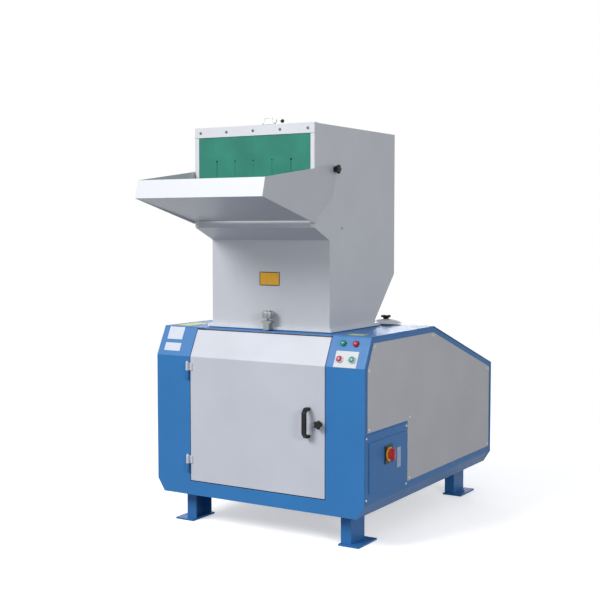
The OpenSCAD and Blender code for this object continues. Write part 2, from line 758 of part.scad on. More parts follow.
// Angle of each segment: the rows run out to the middle and back, like a shallow V
function segment_angle(i) = segment_turn * min(i, blade_count - 1 - i);
module each_arm() {
    for (i = [0:blade_count - 1]) let (x0 = -chamber_w / 2 + end_gap + i * segment_w)
        for (k = [0:blade_rows - 1]) translate([x0, rotor_y, rotor_z])
            rotate([segment_angle(i) + 360 * k / blade_rows, 0, 0]) children();
}
module rotor_body() color([0.42, 0.44, 0.47]) placed() {
    difference() {
        union() {
            rod_x(-chamber_w / 2 + end_gap, chamber_w / 2 - end_gap, rotor_y, rotor_z,
                cut_r * hub_r_share);
            each_arm() along_x(run_gap, segment_w - run_gap) polygon([[0, -arm_half],
                [cut_r * arm_r_share * 0.9, -arm_half * 0.7], [cut_r * arm_r_share, -arm_half * 0.2],
                [cut_r * arm_r_share, blade_seat], [cut_r * blade_r0_share, blade_seat],
                [cut_r * blade_r0_share, blade_seat + blade_t], [0, blade_seat + blade_t]]);
        }
        rod_x(-chamber_w / 2, chamber_w / 2, rotor_y, rotor_z, shaft_r + pin_gap);
    }
}
module rotor_blades() color([0.75, 0.76, 0.78]) placed() {
    edge = sqrt(cut_r * cut_r - pow(blade_seat + blade_t, 2));
    each_arm() along_x(run_gap, segment_w - run_gap) polygon([[cut_r * blade_r0_share, blade_seat],
        [edge * relief_share, blade_seat], [edge, blade_seat + blade_t],
        [cut_r * blade_r0_share, blade_seat + blade_t]]);
}
// Bearings in split housings that stand on the chamber's side plates
bearing_r = 55;
housing_r = 68;
module bearing_housings() color([0.3, 0.45, 0.6]) placed() {
    both_sides() difference() {
        along_x(chamber_w / 2 + side_t, chamber_w / 2 + bearing_in + bearing_w) union() {
            translate([rotor_y, rotor_z]) circle(r = housing_r);
            translate([rotor_y - housing_r * 1.3, rotor_z - housing_r])
                square([housing_r * 2.6, housing_r * 0.5]);
        }
        rod_x(chamber_w / 2, half_w, rotor_y, rotor_z, bearing_r + pin_gap);
    }
}
module rotor_bearings() color([0.7, 0.71, 0.73]) placed() {
    both_sides() difference() {
        rod_x(chamber_w / 2 + bearing_in + bearing_lip,
            chamber_w / 2 + bearing_in + bearing_w - bearing_lip, rotor_y, rotor_z, bearing_r);
        rod_x(chamber_w / 2, half_w, rotor_y, rotor_z, journal_r + pin_gap);
    }
}

// Belt drive on the left, flywheel on the right
motor_y_share = 0.545;
motor_y = chamber_end + (cabinet_l - chamber_end) * motor_y_share;
motor_rise = 221;
motor_out = 60;
motor_z = foot_h + motor_rise;
motor_x = -(chamber_w / 2 + motor_out);
belt_w = 11;
belt_h = 10;
groove_w = 15;
belt_gap = 0.5;
web_t = 14;
module grooved_wheel(r, bore) {
    pitch_w = pulley_face / belt_count;
    rotate_extrude($fn = 72) difference() {
        translate([bore, 0]) square([r + belt_h / 2 - bore, pulley_face]);
        for (i = [0:belt_count - 1]) translate([r - belt_h / 2 - belt_gap, (i + 0.5) * pitch_w])
            polygon([[0, -belt_w / 2 - belt_gap], [belt_h + over, -groove_w / 2],
                [belt_h + over, groove_w / 2], [0, belt_w / 2 + belt_gap]]);
        // recesses either side of the web
        for (side = [0, 1]) translate([bore * recess_share, side * (pulley_face + web_t) / 2])
            if (r > 2 * recess_share * bore) translate([0, side == 0 ? -over : 0])
                square([r - bore * recess_share - 2 * belt_h, (pulley_face - web_t) / 2 + over]);
    }
}
module rotor_pulley() color([0.35, 0.36, 0.38]) placed() {
    translate([-shaft_end, rotor_y, rotor_z]) rotate([0, 90, 0])
        grooved_wheel(pulley_r, seat_r + pin_gap);
}
motor_shaft_r = 19;
recess_share = 1.6;
// Motor shaft with its own grooved pulley
module motor_shaft() color([0.5, 0.51, 0.53]) placed() {
    rod_x(-shaft_end, motor_x + 2 * motor_shaft_r, motor_y, motor_z, motor_shaft_r);
    translate([-shaft_end, motor_y, motor_z]) rotate([0, 90, 0])
        grooved_wheel(motor_pulley_r, motor_shaft_r - over);
}
// Outline of a belt that runs round both pulleys, grown by g
function belt_loop(g) = let (a = [rotor_y, rotor_z],
    b = [motor_y, motor_z],
    axis = atan2(b.y - a.y, b.x - a.x),
    lean = acos((pulley_r - motor_pulley_r) / norm(b - a)))
    concat(arc(a, pulley_r + g, axis + lean, axis + 360 - lean, 40),
        arc(b, motor_pulley_r + g, axis - lean, axis + lean, 24));

module drive_belts() color([0.1, 0.1, 0.1]) placed() {
    pitch_w = pulley_face / belt_count;
    for (i = [0:belt_count - 1]) along_x(-shaft_end + (i + 0.5) * pitch_w - belt_w / 2,
        -shaft_end + (i + 0.5) * pitch_w + belt_w / 2) difference() {
            polygon(belt_loop(belt_h / 2));
            polygon(belt_loop(-belt_h / 2));
        }
}
module flywheel() color([0.33, 0.35, 0.38]) placed() {
    bore = seat_r + pin_gap;
    translate([pulley_x, rotor_y, rotor_z]) rotate([0, 90, 0]) rotate_extrude($fn = 72)
        polygon([[bore, 0], [bore * 1.9, 0], [bore * 1.9, web_t], [pulley_r * 0.78, web_t],
            [pulley_r * 0.78, 0], [pulley_r, 0], [pulley_r, pulley_face - over],
            [pulley_r * 0.78, pulley_face - over], [pulley_r * 0.78, 2 * web_t],
            [bore * 1.9, 2 * web_t], [bore * 1.9, pulley_face - over], [bore, pulley_face - over]]);
}

// Motor: finned body with end bells, feet and a terminal box, on a plate over two rails
fin_count = 20;
fin_t = 4;
motor_foot = 20;
bell_share = 0.16;
module motor_body() color([0.3, 0.42, 0.56]) placed() {
    bell = motor_l * bell_share;
    difference() {
        union() {
            rod_x(motor_x, motor_x + bell, motor_y, motor_z, motor_r * 0.96);
            rod_x(motor_x + bell, motor_x + motor_l - bell, motor_y, motor_z, motor_r * 0.86);
            rod_x(motor_x + motor_l - bell * 1.6, motor_x + motor_l, motor_y, motor_z, motor_r);
            for (i = [0:fin_count - 1]) translate([0, motor_y, motor_z])
                rotate([360 * i / fin_count, 0, 0])
                block([motor_x + bell, motor_r * 0.7, -fin_t / 2],
                    [motor_x + motor_l - bell, motor_r * 0.99, fin_t / 2]);
            block([motor_x + bell, motor_y - motor_r * 0.4, motor_z],
                [motor_x + motor_l / 2, motor_y + motor_r * 0.4, motor_z + motor_r * 1.35]);
            block([motor_x + bell, motor_y - motor_r * 0.95, motor_z - motor_r - motor_foot],
                [motor_x + motor_l - bell, motor_y + motor_r * 0.95, motor_z - motor_r]);
            block([motor_x + bell, motor_y - motor_r * 0.6, motor_z - motor_r - over],
                [motor_x + motor_l - bell, motor_y + motor_r * 0.6, motor_z - motor_r * 0.5]);
        }
        rod_x(motor_x - over, motor_x + 3 * motor_shaft_r, motor_y, motor_z, motor_shaft_r + pin_gap);
    }
}
module motor_base() color([0.27, 0.4, 0.62]) placed() {
    top = motor_z - motor_r - motor_foot;
    block([motor_x, motor_y - motor_r * 1.3, top - 2 * deck_t], [motor_x + motor_l,
        motor_y + motor_r * 1.3, top]);
    for (x = [motor_x + motor_l * 0.1, motor_x + motor_l * 0.75])
        along_x(x, x + motor_l * 0.15) difference() {
            translate([motor_y - motor_r * 1.8, foot_h + sheet])
                square([motor_r * 3.6, top - 2 * deck_t - foot_h - sheet]);
            translate([motor_y - motor_r * 1.5, foot_h + 2 * sheet])
                square([motor_r * 3, top - 4 * deck_t - foot_h - sheet]);
        }
}

// Screen: perforated half shell under the rotor, in a hinged cradle
screen_from = 194;
screen_to = 346;
screen_rows = 10;
hole_pitch = 40;
pivot_out = 11;
pivot_drop = 12;
cradle_hinge_y = rotor_y + cradle_r + pivot_out;
cradle_hinge_z = rotor_z - bed_low - pivot_drop;
cradle_pin_r = 8;
screen_cols = floor((chamber_w - hole_pitch) / hole_pitch);
// A bent strip between two radii, folded flat between the rows of holes
module ring_sector(r0, r1, from, to) {
    polygon(concat(arc([0, 0], r1, from, to, screen_rows), arc([0, 0], r0, to, from, screen_rows)));
}
module screen() color([0.62, 0.63, 0.65]) placed() {
    pitch_a = (screen_to - screen_from) / screen_rows;
    difference() {
        along_x(-chamber_w / 2 + end_gap, chamber_w / 2 - end_gap) translate([rotor_y, rotor_z])
            ring_sector(screen_r, screen_r + screen_t, screen_from, screen_to);
        for (j = [0:screen_rows - 1]) for (i = [0:screen_cols - 1 - j % 2])
            translate([-(screen_cols - 1) * hole_pitch / 2 + (i + (j % 2) / 2) * hole_pitch, rotor_y,
                rotor_z]) rotate([screen_from + (j + 0.5) * pitch_a, 0, 0])
                translate([0, screen_r - over, 0]) rotate([-90, 0, 0])
                cylinder(h = screen_t + 2 * over, r = screen_hole_d / 2, $fn = 12);
    }
}
cradle_ribs = 4;
arm_in = 2;
rib_t = 8;
rib_in = 5;
arm_low_turn = 6;
arm_top_turn = 1;
tie_half = 6;
screen_seat = 4;
lug_r_share = 1.4;
cradle_tie_share = [0.035, 0.36, 0.66, 0.95];
module screen_cradle() color([0.4, 0.42, 0.45]) placed() {
    inner = screen_r + screen_t;
    step = (chamber_w - 2 * rib_in - rib_t) / (cradle_ribs - 1);
    hinge = [cradle_hinge_y - rotor_y, cradle_hinge_z - rotor_z];
    difference() {
        union() {
            for (i = [0:cradle_ribs - 1]) along_x(-chamber_w / 2 + rib_in + i * step,
                -chamber_w / 2 + rib_in + i * step + rib_t) {
                translate([rotor_y, rotor_z])
                    ring_sector(inner, cradle_r - screen_seat, screen_from, screen_to);
                translate([rotor_y, rotor_z]) polygon([polar(inner + arm_in, screen_to - arm_low_turn),
                    hinge - [0, cradle_pin_r], hinge + [0, cradle_pin_r],
                    polar(inner + 2 * arm_in, screen_to - arm_top_turn)]);
                translate([cradle_hinge_y, cradle_hinge_z]) circle(r = cradle_pin_r * lug_r_share,
                    $fn = 32);
            }
            for (s = cradle_tie_share) translate([0, rotor_y, rotor_z])
                rotate([screen_from + s * (screen_to - screen_from), 0, 0])
                block([-chamber_w / 2 + rib_in + over, inner + arm_in, -tie_half],
                    [chamber_w / 2 - rib_in - over, inner + 2.5 * arm_in, tie_half]);
        }
        rod_x(-half_w, half_w, cradle_hinge_y, cradle_hinge_z, cradle_pin_r + pin_gap);
    }
}

// Granulate bin behind the door, on runners
bin_side_gap = 15;
bin_w = chamber_w - 2 * bin_side_gap;
bin_y0 = 66;
bin_l = 494;
bin_t = 2;
runner_rise = 14;
runner_top = rail_z + runner_rise;
bin_z0 = runner_top + run_gap;
bin_clear = 74;
bin_top = rotor_z - cradle_r - bin_clear;
bin_grip_h = 12;
bin_grip_out = 24;
bin_grip_t = 10;
runner_lead = 20;
grip_span = 150;
module collection_bin() color([0.66, 0.68, 0.7]) placed() {
    difference() {
        union() {
            block([-bin_w / 2, bin_y0, bin_z0], [bin_w / 2, bin_y0 + bin_l, bin_top]);
        }
        block([-bin_w / 2 + bin_t, bin_y0 + bin_t, bin_z0 + bin_t],
            [bin_w / 2 - bin_t, bin_y0 + bin_l - bin_t, bin_top + over]);
    }
    // pull handle
    translate([0, 0, (bin_z0 + bin_top) / 2]) difference() {
        block([-grip_span / 2, bin_y0 - bin_grip_out, -bin_grip_h / 2],
            [grip_span / 2, bin_y0, bin_grip_h / 2]);
        block([-grip_span / 2 + bin_grip_t, bin_y0 - bin_grip_out + bin_grip_t, -bin_grip_h],
            [grip_span / 2 - bin_grip_t, bin_y0, bin_grip_h]);
    }
}
runner_w = 30;
module bin_runners() color([0.27, 0.4, 0.62]) placed() {
    both_sides() along_y(bin_y0 - runner_lead, bin_y0 + bin_l) difference() {
        translate([bin_w / 2 - 2 * runner_w, foot_h + sheet])
            square([runner_w, runner_top - foot_h - sheet]);
        translate([bin_w / 2 - 2 * runner_w - over, foot_h + 2 * sheet])
            square([runner_w - sheet + over, runner_top - foot_h - 3 * sheet]);
    }
}

// Hopper

neck_over = 2;
hopper_half = chamber_w / 2 + neck_over;
flange_z = deck_z + flange_gap;
neck_z = flange_z + flange_t;
mouth_y = chamber_y - mouth_out;
hopper_top = neck_z + hopper_h;
neck_top = neck_z + neck_h;
sill_top = hopper_top - hopper_t - mouth_h;
sill_h = 29.5;
mouth_low = sill_top - sill_h;
hopper_back = mouth_y + hopper_l;
knee_rise = 213;
neck_back_h = 10;
knee_z = neck_z + knee_rise;
neck_back_z = neck_z + neck_back_h;
boss_y = 217;
boss_drop = 31;
boss_r = 6;
boss_h = 2.5;
hopper_outline = [[chamber_y, neck_z], [chamber_end, neck_z], [chamber_end, neck_back_z],
    [hopper_back, knee_z], [hopper_back, hopper_top], [mouth_y, hopper_top],
    [mouth_y, mouth_low], [chamber_y, neck_top]];
post_w = 17;
module hopper_body() color([0.66, 0.67, 0.7]) placed() {
    difference() {
        along_x(-hopper_half, hopper_half) polygon(hopper_outline);
        along_x(-hopper_half + hopper_t, hopper_half - hopper_t)
            polygon(inset(hopper_outline, hopper_t));
        // open bottom and mouth
        block([-hopper_half + hopper_t, chamber_y + hopper_t, neck_z - over],
            [hopper_half - hopper_t, chamber_end - hopper_t, neck_z + 2 * hopper_t]);
        block([-hopper_half + hopper_t, mouth_y - over, sill_top],
            [hopper_half - hopper_t, mouth_y + 2 * hopper_t, hopper_top - hopper_t]);
    }
    // nuts welded on the sides
    both_sides() rod_x(hopper_half - hopper_t / 2, hopper_half + boss_h, boss_y,
        sill_top - boss_drop, boss_r);
}
// Flange ring with the clamp lug in front and the hinge ears behind
ear_in = 35;
ear_x = chamber_w / 2 - ear_in;
ear_half = 6.5;
ear_r = 10.5;
lug_w = 46;
lug_h = 39;
lug_neck_share = 0.6;
lug_top = 10;
hinge_pin_big = 6;
flange_front = chamber_y - flange_lip;
flange_back = chamber_end + flange_lip;
module hopper_flange() color([0.85, 0.86, 0.88]) placed() {
    difference() {
        union() {
            block([-hopper_half - flange_lip + over, flange_front, flange_z],
                [hopper_half + flange_lip - over, flange_back, neck_z]);
            block([clamp_x - lug_w / 2 * lug_neck_share, clamp_y - flange_lip, flange_z],
                [clamp_x + lug_w / 2 * lug_neck_share, flange_front + over, flange_z + lug_h]);
            block([clamp_x - lug_w / 2, clamp_y - flange_lip, flange_z + lug_h - lug_top],
                [clamp_x + lug_w / 2, flange_front, flange_z + lug_h]);
            both_sides() along_x(ear_x - ear_half, ear_x + ear_half) union() {
                translate([hinge_y, hinge_z]) circle(r = ear_r);
                translate([flange_back - over, flange_z])
                    square([hinge_y - flange_back + over, hinge_z - flange_z]);
            }
        }
        block([-hopper_half + hopper_t, chamber_y + hopper_t, flange_z - over],
            [hopper_half - hopper_t, chamber_end - hopper_t, neck_z + over]);
        translate([clamp_x, clamp_y, flange_z - over])
            cylinder(h = lug_h + 2 * over, r = clamp_r + clamp_play);
        rod_x(-half_w, half_w, hinge_y, hinge_z, hinge_pin_big + pin_gap);
    }
}
// Brackets on the deck with the pins that the hopper tilts on
bracket_t = 8;
bracket_gap = 1;
module hopper_hinges() color([0.25, 0.4, 0.62]) placed() {
    both_sides() {
        for (x = [ear_x - ear_half - bracket_gap - bracket_t, ear_x + ear_half + bracket_gap])
            along_x(x, x + bracket_t) union() {
                translate([hinge_y, hinge_z]) circle(r = ear_r);
                translate([hinge_y - ear_r, deck_z]) square([2 * ear_r, hinge_z - deck_z]);
            }
        rod_x(ear_x - ear_half - bracket_gap - over, ear_x + ear_half + bracket_gap + over, hinge_y,
            hinge_z, hinge_pin_big);
    }
}
// White posts either side of the mouth
module mouth_posts() color([0.95, 0.95, 0.97]) placed() {
    both_sides() along_z_post();
}
post_d = 24;
module along_z_post() {
    translate([0, 0, sill_top]) linear_extrude(hopper_top - hopper_t - sill_top) polygon(
        [[hopper_half - hopper_t - post_w, mouth_y], [hopper_half - hopper_t, mouth_y],
        [hopper_half - hopper_t, mouth_y + post_d], [hopper_half - 2 * hopper_t, mouth_y + post_d],
        [hopper_half - 2 * hopper_t, mouth_y + hopper_t],
        [hopper_half - hopper_t - post_w, mouth_y + hopper_t]]);
}
// Bar over the mouth that carries the curtain
bar_h = 41;
bar_t = 2;
bar_back = 28;
module curtain_bar() color([0.95, 0.95, 0.97]) placed() {
    along_x(-hopper_half, hopper_half) polygon([[mouth_y - bar_t, hopper_top + bar_t],
        [mouth_y - bar_t, hopper_top - bar_h], [mouth_y, hopper_top - bar_h], [mouth_y, hopper_top],
        [mouth_y + bar_back, hopper_top], [mouth_y + bar_back, hopper_top + bar_t]]);
}
bar_screw_share = [-0.95, -0.475, 0, 0.475, 0.95];
bar_screw_r = 6;
bar_screw_h = 3;
module bar_screws() color([0.4, 0.41, 0.43]) placed() {
    for (s = bar_screw_share) translate([s * (hopper_half - post_w), mouth_y - bar_t,
        hopper_top - bar_h / 2]) rotate([90, 0, 0])
        cylinder(h = bar_screw_h, r1 = bar_screw_r, r2 = bar_screw_r * screw_top_share, $fn = 24);
}
// Flaps of the curtain: slits with a round stress relief at the top of each
curtain_t = 3;
curtain_gap = 45;
slit_w = 1.6;
slit_hole_r = 4;
slit_drop = 106;
curtain_in = 1;
module curtain() color([0.22, 0.55, 0.46]) placed() {
    w = hopper_half - hopper_t - post_w - curtain_in;
    y0 = mouth_y + run_gap / 10;
    top = hopper_top - hopper_t - curtain_in;
    difference() {
        block([-w, y0, sill_top + curtain_gap], [w, y0 + curtain_t, top]);
        for (i = [1:flap_count - 1]) let (x = -w + 2 * w * i / flap_count) {
            block([x - slit_w / 2, y0 - over, sill_top + curtain_gap - over],
                [x + slit_w / 2, y0 + curtain_t + over, hopper_top - bar_h - slit_drop]);
            translate([x, y0 - over, hopper_top - bar_h - slit_drop]) rotate([-90, 0, 0])
                cylinder(h = curtain_t + 2 * over, r = slit_hole_r, $fn = 24);
        }
    }
}

// Clamp screw with a hand knob and a captive washer
clamp_up = 52;
clamp_knob_r = 25;
clamp_knob_h = 34;
washer_t = 1.2;
clamp_tip = 2;
module clamp_screw() color([0.6, 0.61, 0.63]) placed() {
    z0 = deck_z + clamp_tip;
    translate([clamp_x, clamp_y, 0]) {
        translate([0, 0, z0]) cylinder(h = clamp_up + over, r = clamp_r, $fn = 32);
        translate([0, 0, z0 + clamp_up]) difference() {
            cylinder(h = clamp_knob_h, r = clamp_knob_r);
            for (i = [0:5]) rotate(60 * i + 30) translate([clamp_knob_r * 1.25, 0, clamp_knob_h * 0.3])
                cylinder(h = clamp_knob_h, r = clamp_knob_r * 0.42, $fn = 24);
        }
    }
}
module clamp_washer() color([0.5, 0.51, 0.53]) placed() {
    translate([clamp_x, clamp_y, deck_z + clamp_tip + clamp_up - washer_t - run_gap / 10])
        difference() {
            cylinder(h = washer_t, r = 2 * clamp_r);
            translate([0, 0, -over]) cylinder(h = 2 * over + washer_t, r = clamp_r + pin_gap);
        }
}

// Wire bail on top of the mouth that hooks over the folded tray
wire_r = 2;
wire_thin = 1.8;
bail_x0 = 38;
bail_w = 40;
bail_h = 26;
bail_behind = 32.7;
bail_y = mouth_y + bail_behind;
bail_rise = 5.5;
bail_z = hopper_top + bar_t + bail_rise;
rod_out = 12;
block_out = 3;
knee_out = 14;
bend_move = [22, 20];
ball_move = [48, 9];
ball_r = 8;
block_half = 4.5;
block_w = 7;
module latch_block() color([0.55, 0.56, 0.58]) placed() {
    for (x = [bail_x0 - rod_out, bail_x0 + bail_w + block_out]) difference() {
        block([x, bail_y - block_half, hopper_top], [x + block_w, bail_y + block_half, bail_z + block_half]);
        rod_x(x - over, x + block_w + over, bail_y, bail_z, wire_r + pin_gap);
    }
}
// A straight bar between two points of an outline
module bar(a, b) {
    translate(a) rotate(atan2(b.y - a.y, b.x - a.x)) translate([-wire_thin, -wire_thin])
        square([norm(b - a) + 2 * wire_thin, 2 * wire_thin]);
}
module latch_bail() color([0.6, 0.61, 0.63]) placed() {
    end = [bail_x0 + bail_w, bail_z];
    knee = end + [knee_out, 0];
    bend = end + bend_move;
    ball = end + ball_move;
    top = bail_z + bail_h - wire_thin;
    rod_x(bail_x0 - rod_out, knee.x, bail_y, bail_z, wire_r, $fn = 24);
    along_y(bail_y - wire_thin, bail_y + wire_thin) union() {
        bar(knee, bend);
        bar(bend, ball);
        bar([bail_x0, bail_z], [bail_x0, top]);
        bar([bail_x0 + bail_w, bail_z], [bail_x0 + bail_w, top]);
        bar([bail_x0, top], [bail_x0 + bail_w, top]);
    }
    translate([ball.x, bail_y, ball.y]) sphere(r = ball_r);
}

// Feed tray: sloped floor with an upright lip, and wings outside the hopper
tray_t = 3;
wing_gap = 4.5;
tray_half = hopper_half + wing_gap + tray_t;
axis_out = 6.8;
axis_rise = 4;
tray_axis_y = mouth_y - axis_out;
tray_axis_z = sill_top + axis_rise;
tray_knob_y = 140;
knob_rise = 215.5;
tray_knob_z = sill_top + knob_rise;
wing_tip_r = 18;
wing_hub_r = 16;
function tray_dir(a) = [-cos(a), sin(a)];
axis_p = [tray_axis_y, tray_axis_z];
along_p = tray_dir(tray_slope);
normal_p = [-along_p.y, along_p.x];
floor_sink = 2.3;
floor_start = axis_p - [0, floor_sink + tray_t];
floor_lap = 8.5;
lip_low = floor_start + tray_l * along_p;
lip_lean = 14.5;
lip_top = lip_low + lip_h * [sin(lip_lean), cos(lip_lean)];
floor_rear = floor_start + floor_lap * along_p;
tip_p = [tray_knob_y, tray_knob_z];
wing_edge_y = [7, -3, -28];
wing_edge_z = [-48, -94, -128];
// Outline of a wing: along the floor, up the lip, back to the knob and down the rear edge
wing_outline = concat([lip_low], [lip_top], arc(tip_p, wing_tip_r, 98, 0, 8),
    [for (i = [0:2]) tip_p + [wing_edge_y[i], wing_edge_z[i]]],
    arc(axis_p, wing_hub_r, 20, -80, 8));
module feed_tray() color([0.7, 0.71, 0.74]) placed() {
    in = tray_half - tray_t;
    // floor and lip
    along_x(-tray_half, tray_half) polygon([floor_rear, lip_low, lip_top,
        lip_top + tray_t * [cos(lip_lean), -sin(lip_lean)],
        lip_low + tray_t * [cos(lip_lean), -sin(lip_lean)] + tray_t * [0.28, 1.02],
        floor_rear + tray_t * [0, 1 / cos(tray_slope)]]);
    both_sides() {
        difference() {
            along_x(in, tray_half) polygon(turned(wing_outline));
            rod_x(in - over, tray_half + over, tip_p.x, tip_p.y, tray_stud_r + pin_gap);
        }
        // knuckle on the tray
        difference() {
            along_x(knuckle_x + knuckle_l + run_gap, in + over) union() {
                translate(axis_p) circle(r = tray_knuckle_r, $fn = 24);
                polygon([floor_rear, floor_rear + [0, tray_t], axis_p + [0, tray_knuckle_r * 0.8],
                    axis_p + [0, -tray_knuckle_r * 0.8]]);
            }
            rod_x(knuckle_x, in, tray_axis_y, tray_axis_z, tray_pin_r + pin_gap);
        }
    }
}
knuckle_in = 18;
knuckle_x = hopper_half - knuckle_in;
knuckle_l = 9;
tray_knuckle_r = 5.2;
tray_pin_r = 3;
leaf_h = 28;
sill_leaf_t = 3;
leaf_top = 1;
root_h = 14;
tray_pin_out = 4;
stud_end_gap = 3;
// Hinge leaves on the sill with the pins that the tray turns on
module tray_hinges() color([0.8, 0.81, 0.83]) placed() {
    both_sides() {
        block([knuckle_x, mouth_y - sill_leaf_t, sill_top - leaf_h],
            [hopper_half, mouth_y, sill_top - leaf_top]);
        along_x(knuckle_x, knuckle_x + knuckle_l) union() {
            translate(axis_p) circle(r = tray_knuckle_r, $fn = 24);
            polygon([[mouth_y - sill_leaf_t, sill_top - root_h],
                [mouth_y - sill_leaf_t, sill_top - leaf_top],
                axis_p + [tray_knuckle_r * 0.8, 0], axis_p + [0, -tray_knuckle_r * 0.8]]);
        }
        rod_x(knuckle_x, hopper_half + tray_pin_out, tray_axis_y, tray_axis_z, tray_pin_r, $fn = 24);
    }
}
tray_stud_r = 4;
tray_knob_d = 40;
tray_knob_h = 26;
module tray_knob() {
    translate([tray_half + run_gap, tip_p.x, tip_p.y]) rotate([0, 90, 0])
        star_knob(tray_knob_d, tray_knob_h, tray_knob_h / 3, tray_stud_r,
            tray_t + wing_gap - stud_end_gap);
}
module tray_knob_right() color([0.08, 0.08, 0.09]) placed() tray_knob();
module tray_knob_left() color([0.08, 0.08, 0.09]) placed() mirror([1, 0, 0]) tray_knob();

front_frame();
base_frame();
feet();
deck_plate();
rear_cover();
left_side_panel();
right_side_panel();
panel_screws();
electrical_box();
electrical_cover();
contactor_rail();
isolator_plate();
isolator_handle();
button_plate();
stop_button();
start_button();
green_lamp();
red_lamp();
door_hinges();
door_knuckles();
door_panel();
door_handle();
door_knob();
hold_down_disc();
hold_down_knob();
chamber_sides();
knife_beds();
fixed_knives();
rotor_shaft();
rotor_body();
rotor_blades();
bearing_housings();
rotor_bearings();
rotor_pulley();
flywheel();
drive_belts();
motor_body();
motor_shaft();
motor_base();
screen();
screen_cradle();
collection_bin();
bin_runners();
hopper_body();
hopper_flange();
mouth_posts();
curtain_bar();
bar_screws();
curtain();
hopper_hinges();
clamp_screw();
clamp_washer();
latch_block();
latch_bail();
feed_tray();
tray_knob_left();
tray_knob_right();
tray_hinges();
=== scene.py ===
import json
import math

import bmesh
import bpy
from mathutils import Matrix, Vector


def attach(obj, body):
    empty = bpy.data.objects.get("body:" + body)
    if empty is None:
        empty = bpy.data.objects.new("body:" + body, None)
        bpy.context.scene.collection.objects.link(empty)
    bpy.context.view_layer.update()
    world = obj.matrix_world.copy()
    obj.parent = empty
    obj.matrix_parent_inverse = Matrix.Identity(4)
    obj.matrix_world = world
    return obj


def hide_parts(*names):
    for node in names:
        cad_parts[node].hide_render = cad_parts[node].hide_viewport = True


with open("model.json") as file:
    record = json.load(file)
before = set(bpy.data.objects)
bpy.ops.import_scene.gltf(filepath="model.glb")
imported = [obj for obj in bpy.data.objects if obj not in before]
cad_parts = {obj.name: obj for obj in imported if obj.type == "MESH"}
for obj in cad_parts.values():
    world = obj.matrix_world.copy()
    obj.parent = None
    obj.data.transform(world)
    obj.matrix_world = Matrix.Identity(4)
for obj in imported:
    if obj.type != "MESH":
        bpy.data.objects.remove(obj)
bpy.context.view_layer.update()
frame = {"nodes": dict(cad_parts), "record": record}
nodes = frame["nodes"]

# Camera at the photograph's viewpoint
cam_data = bpy.data.cameras.new("camera")
cam_data.lens = 67.27
cam_data.sensor_width = 36
cam_data.clip_end = 60
cam = bpy.data.objects.new("camera", cam_data)
cam.location = (2.645, -4.641, 1.329)
cam.rotation_euler = (math.radians(90 - 3.69), 0, math.radians(31.37))
bpy.context.scene.collection.objects.link(cam)
bpy.context.scene.camera = cam

# Places of the machine in millimetres, as in part.scad: depths count from the front face
FRONT_TO_ORIGIN = 672
CABINET_L = 1360
SIDE_FACE = 530
# the side panel's lower corners, and where it comes out above the folded base sheet
PANEL_LOW, PANEL_EDGE = 139, 198
DECK_Z, DECK_BACK, BACK_HIGH = 885, 664, 650
SLANT_LOW, SLANT_DEPTH, SLANT = 759, 62.5, math.radians(26.38)
COVER_FRONT, COVER_BACK, COVER_LOW, COVER_HIGH = 5, 398, 205, 485.1
CONTROL_X, BUTTON_ROW, LAMP_ROW = (407, 466), 35, 106
ISOLATOR = (210, 378.67)
CLAMP = (14, 80)


def P(x, y, z):
    """A place in millimetres, from the front face and the floor, as a point of the row frame."""
    return Vector((x / 1000, (y - FRONT_TO_ORIGIN) / 1000, z / 1000))


# Materials

def shade(nt, kind, inputs=(), **settings):
    """A shader node with its settings, and its inputs as values or as sockets to link."""
    node = nt.nodes.new("ShaderNode" + kind)
    for name, value in settings.items():
        setattr(node, name, value)
    for name, value in dict(inputs).items():
        if isinstance(value, bpy.types.NodeSocket):
            nt.links.new(value, node.inputs[name])
        else:
            node.inputs[name].default_value = value
    return node


WEAR_RADIUS, WEAR_FROM, WEAR_TO = 0.0022, 0.07, 0.16
HIGHLIGHT_FACING_SHARE = 0.93


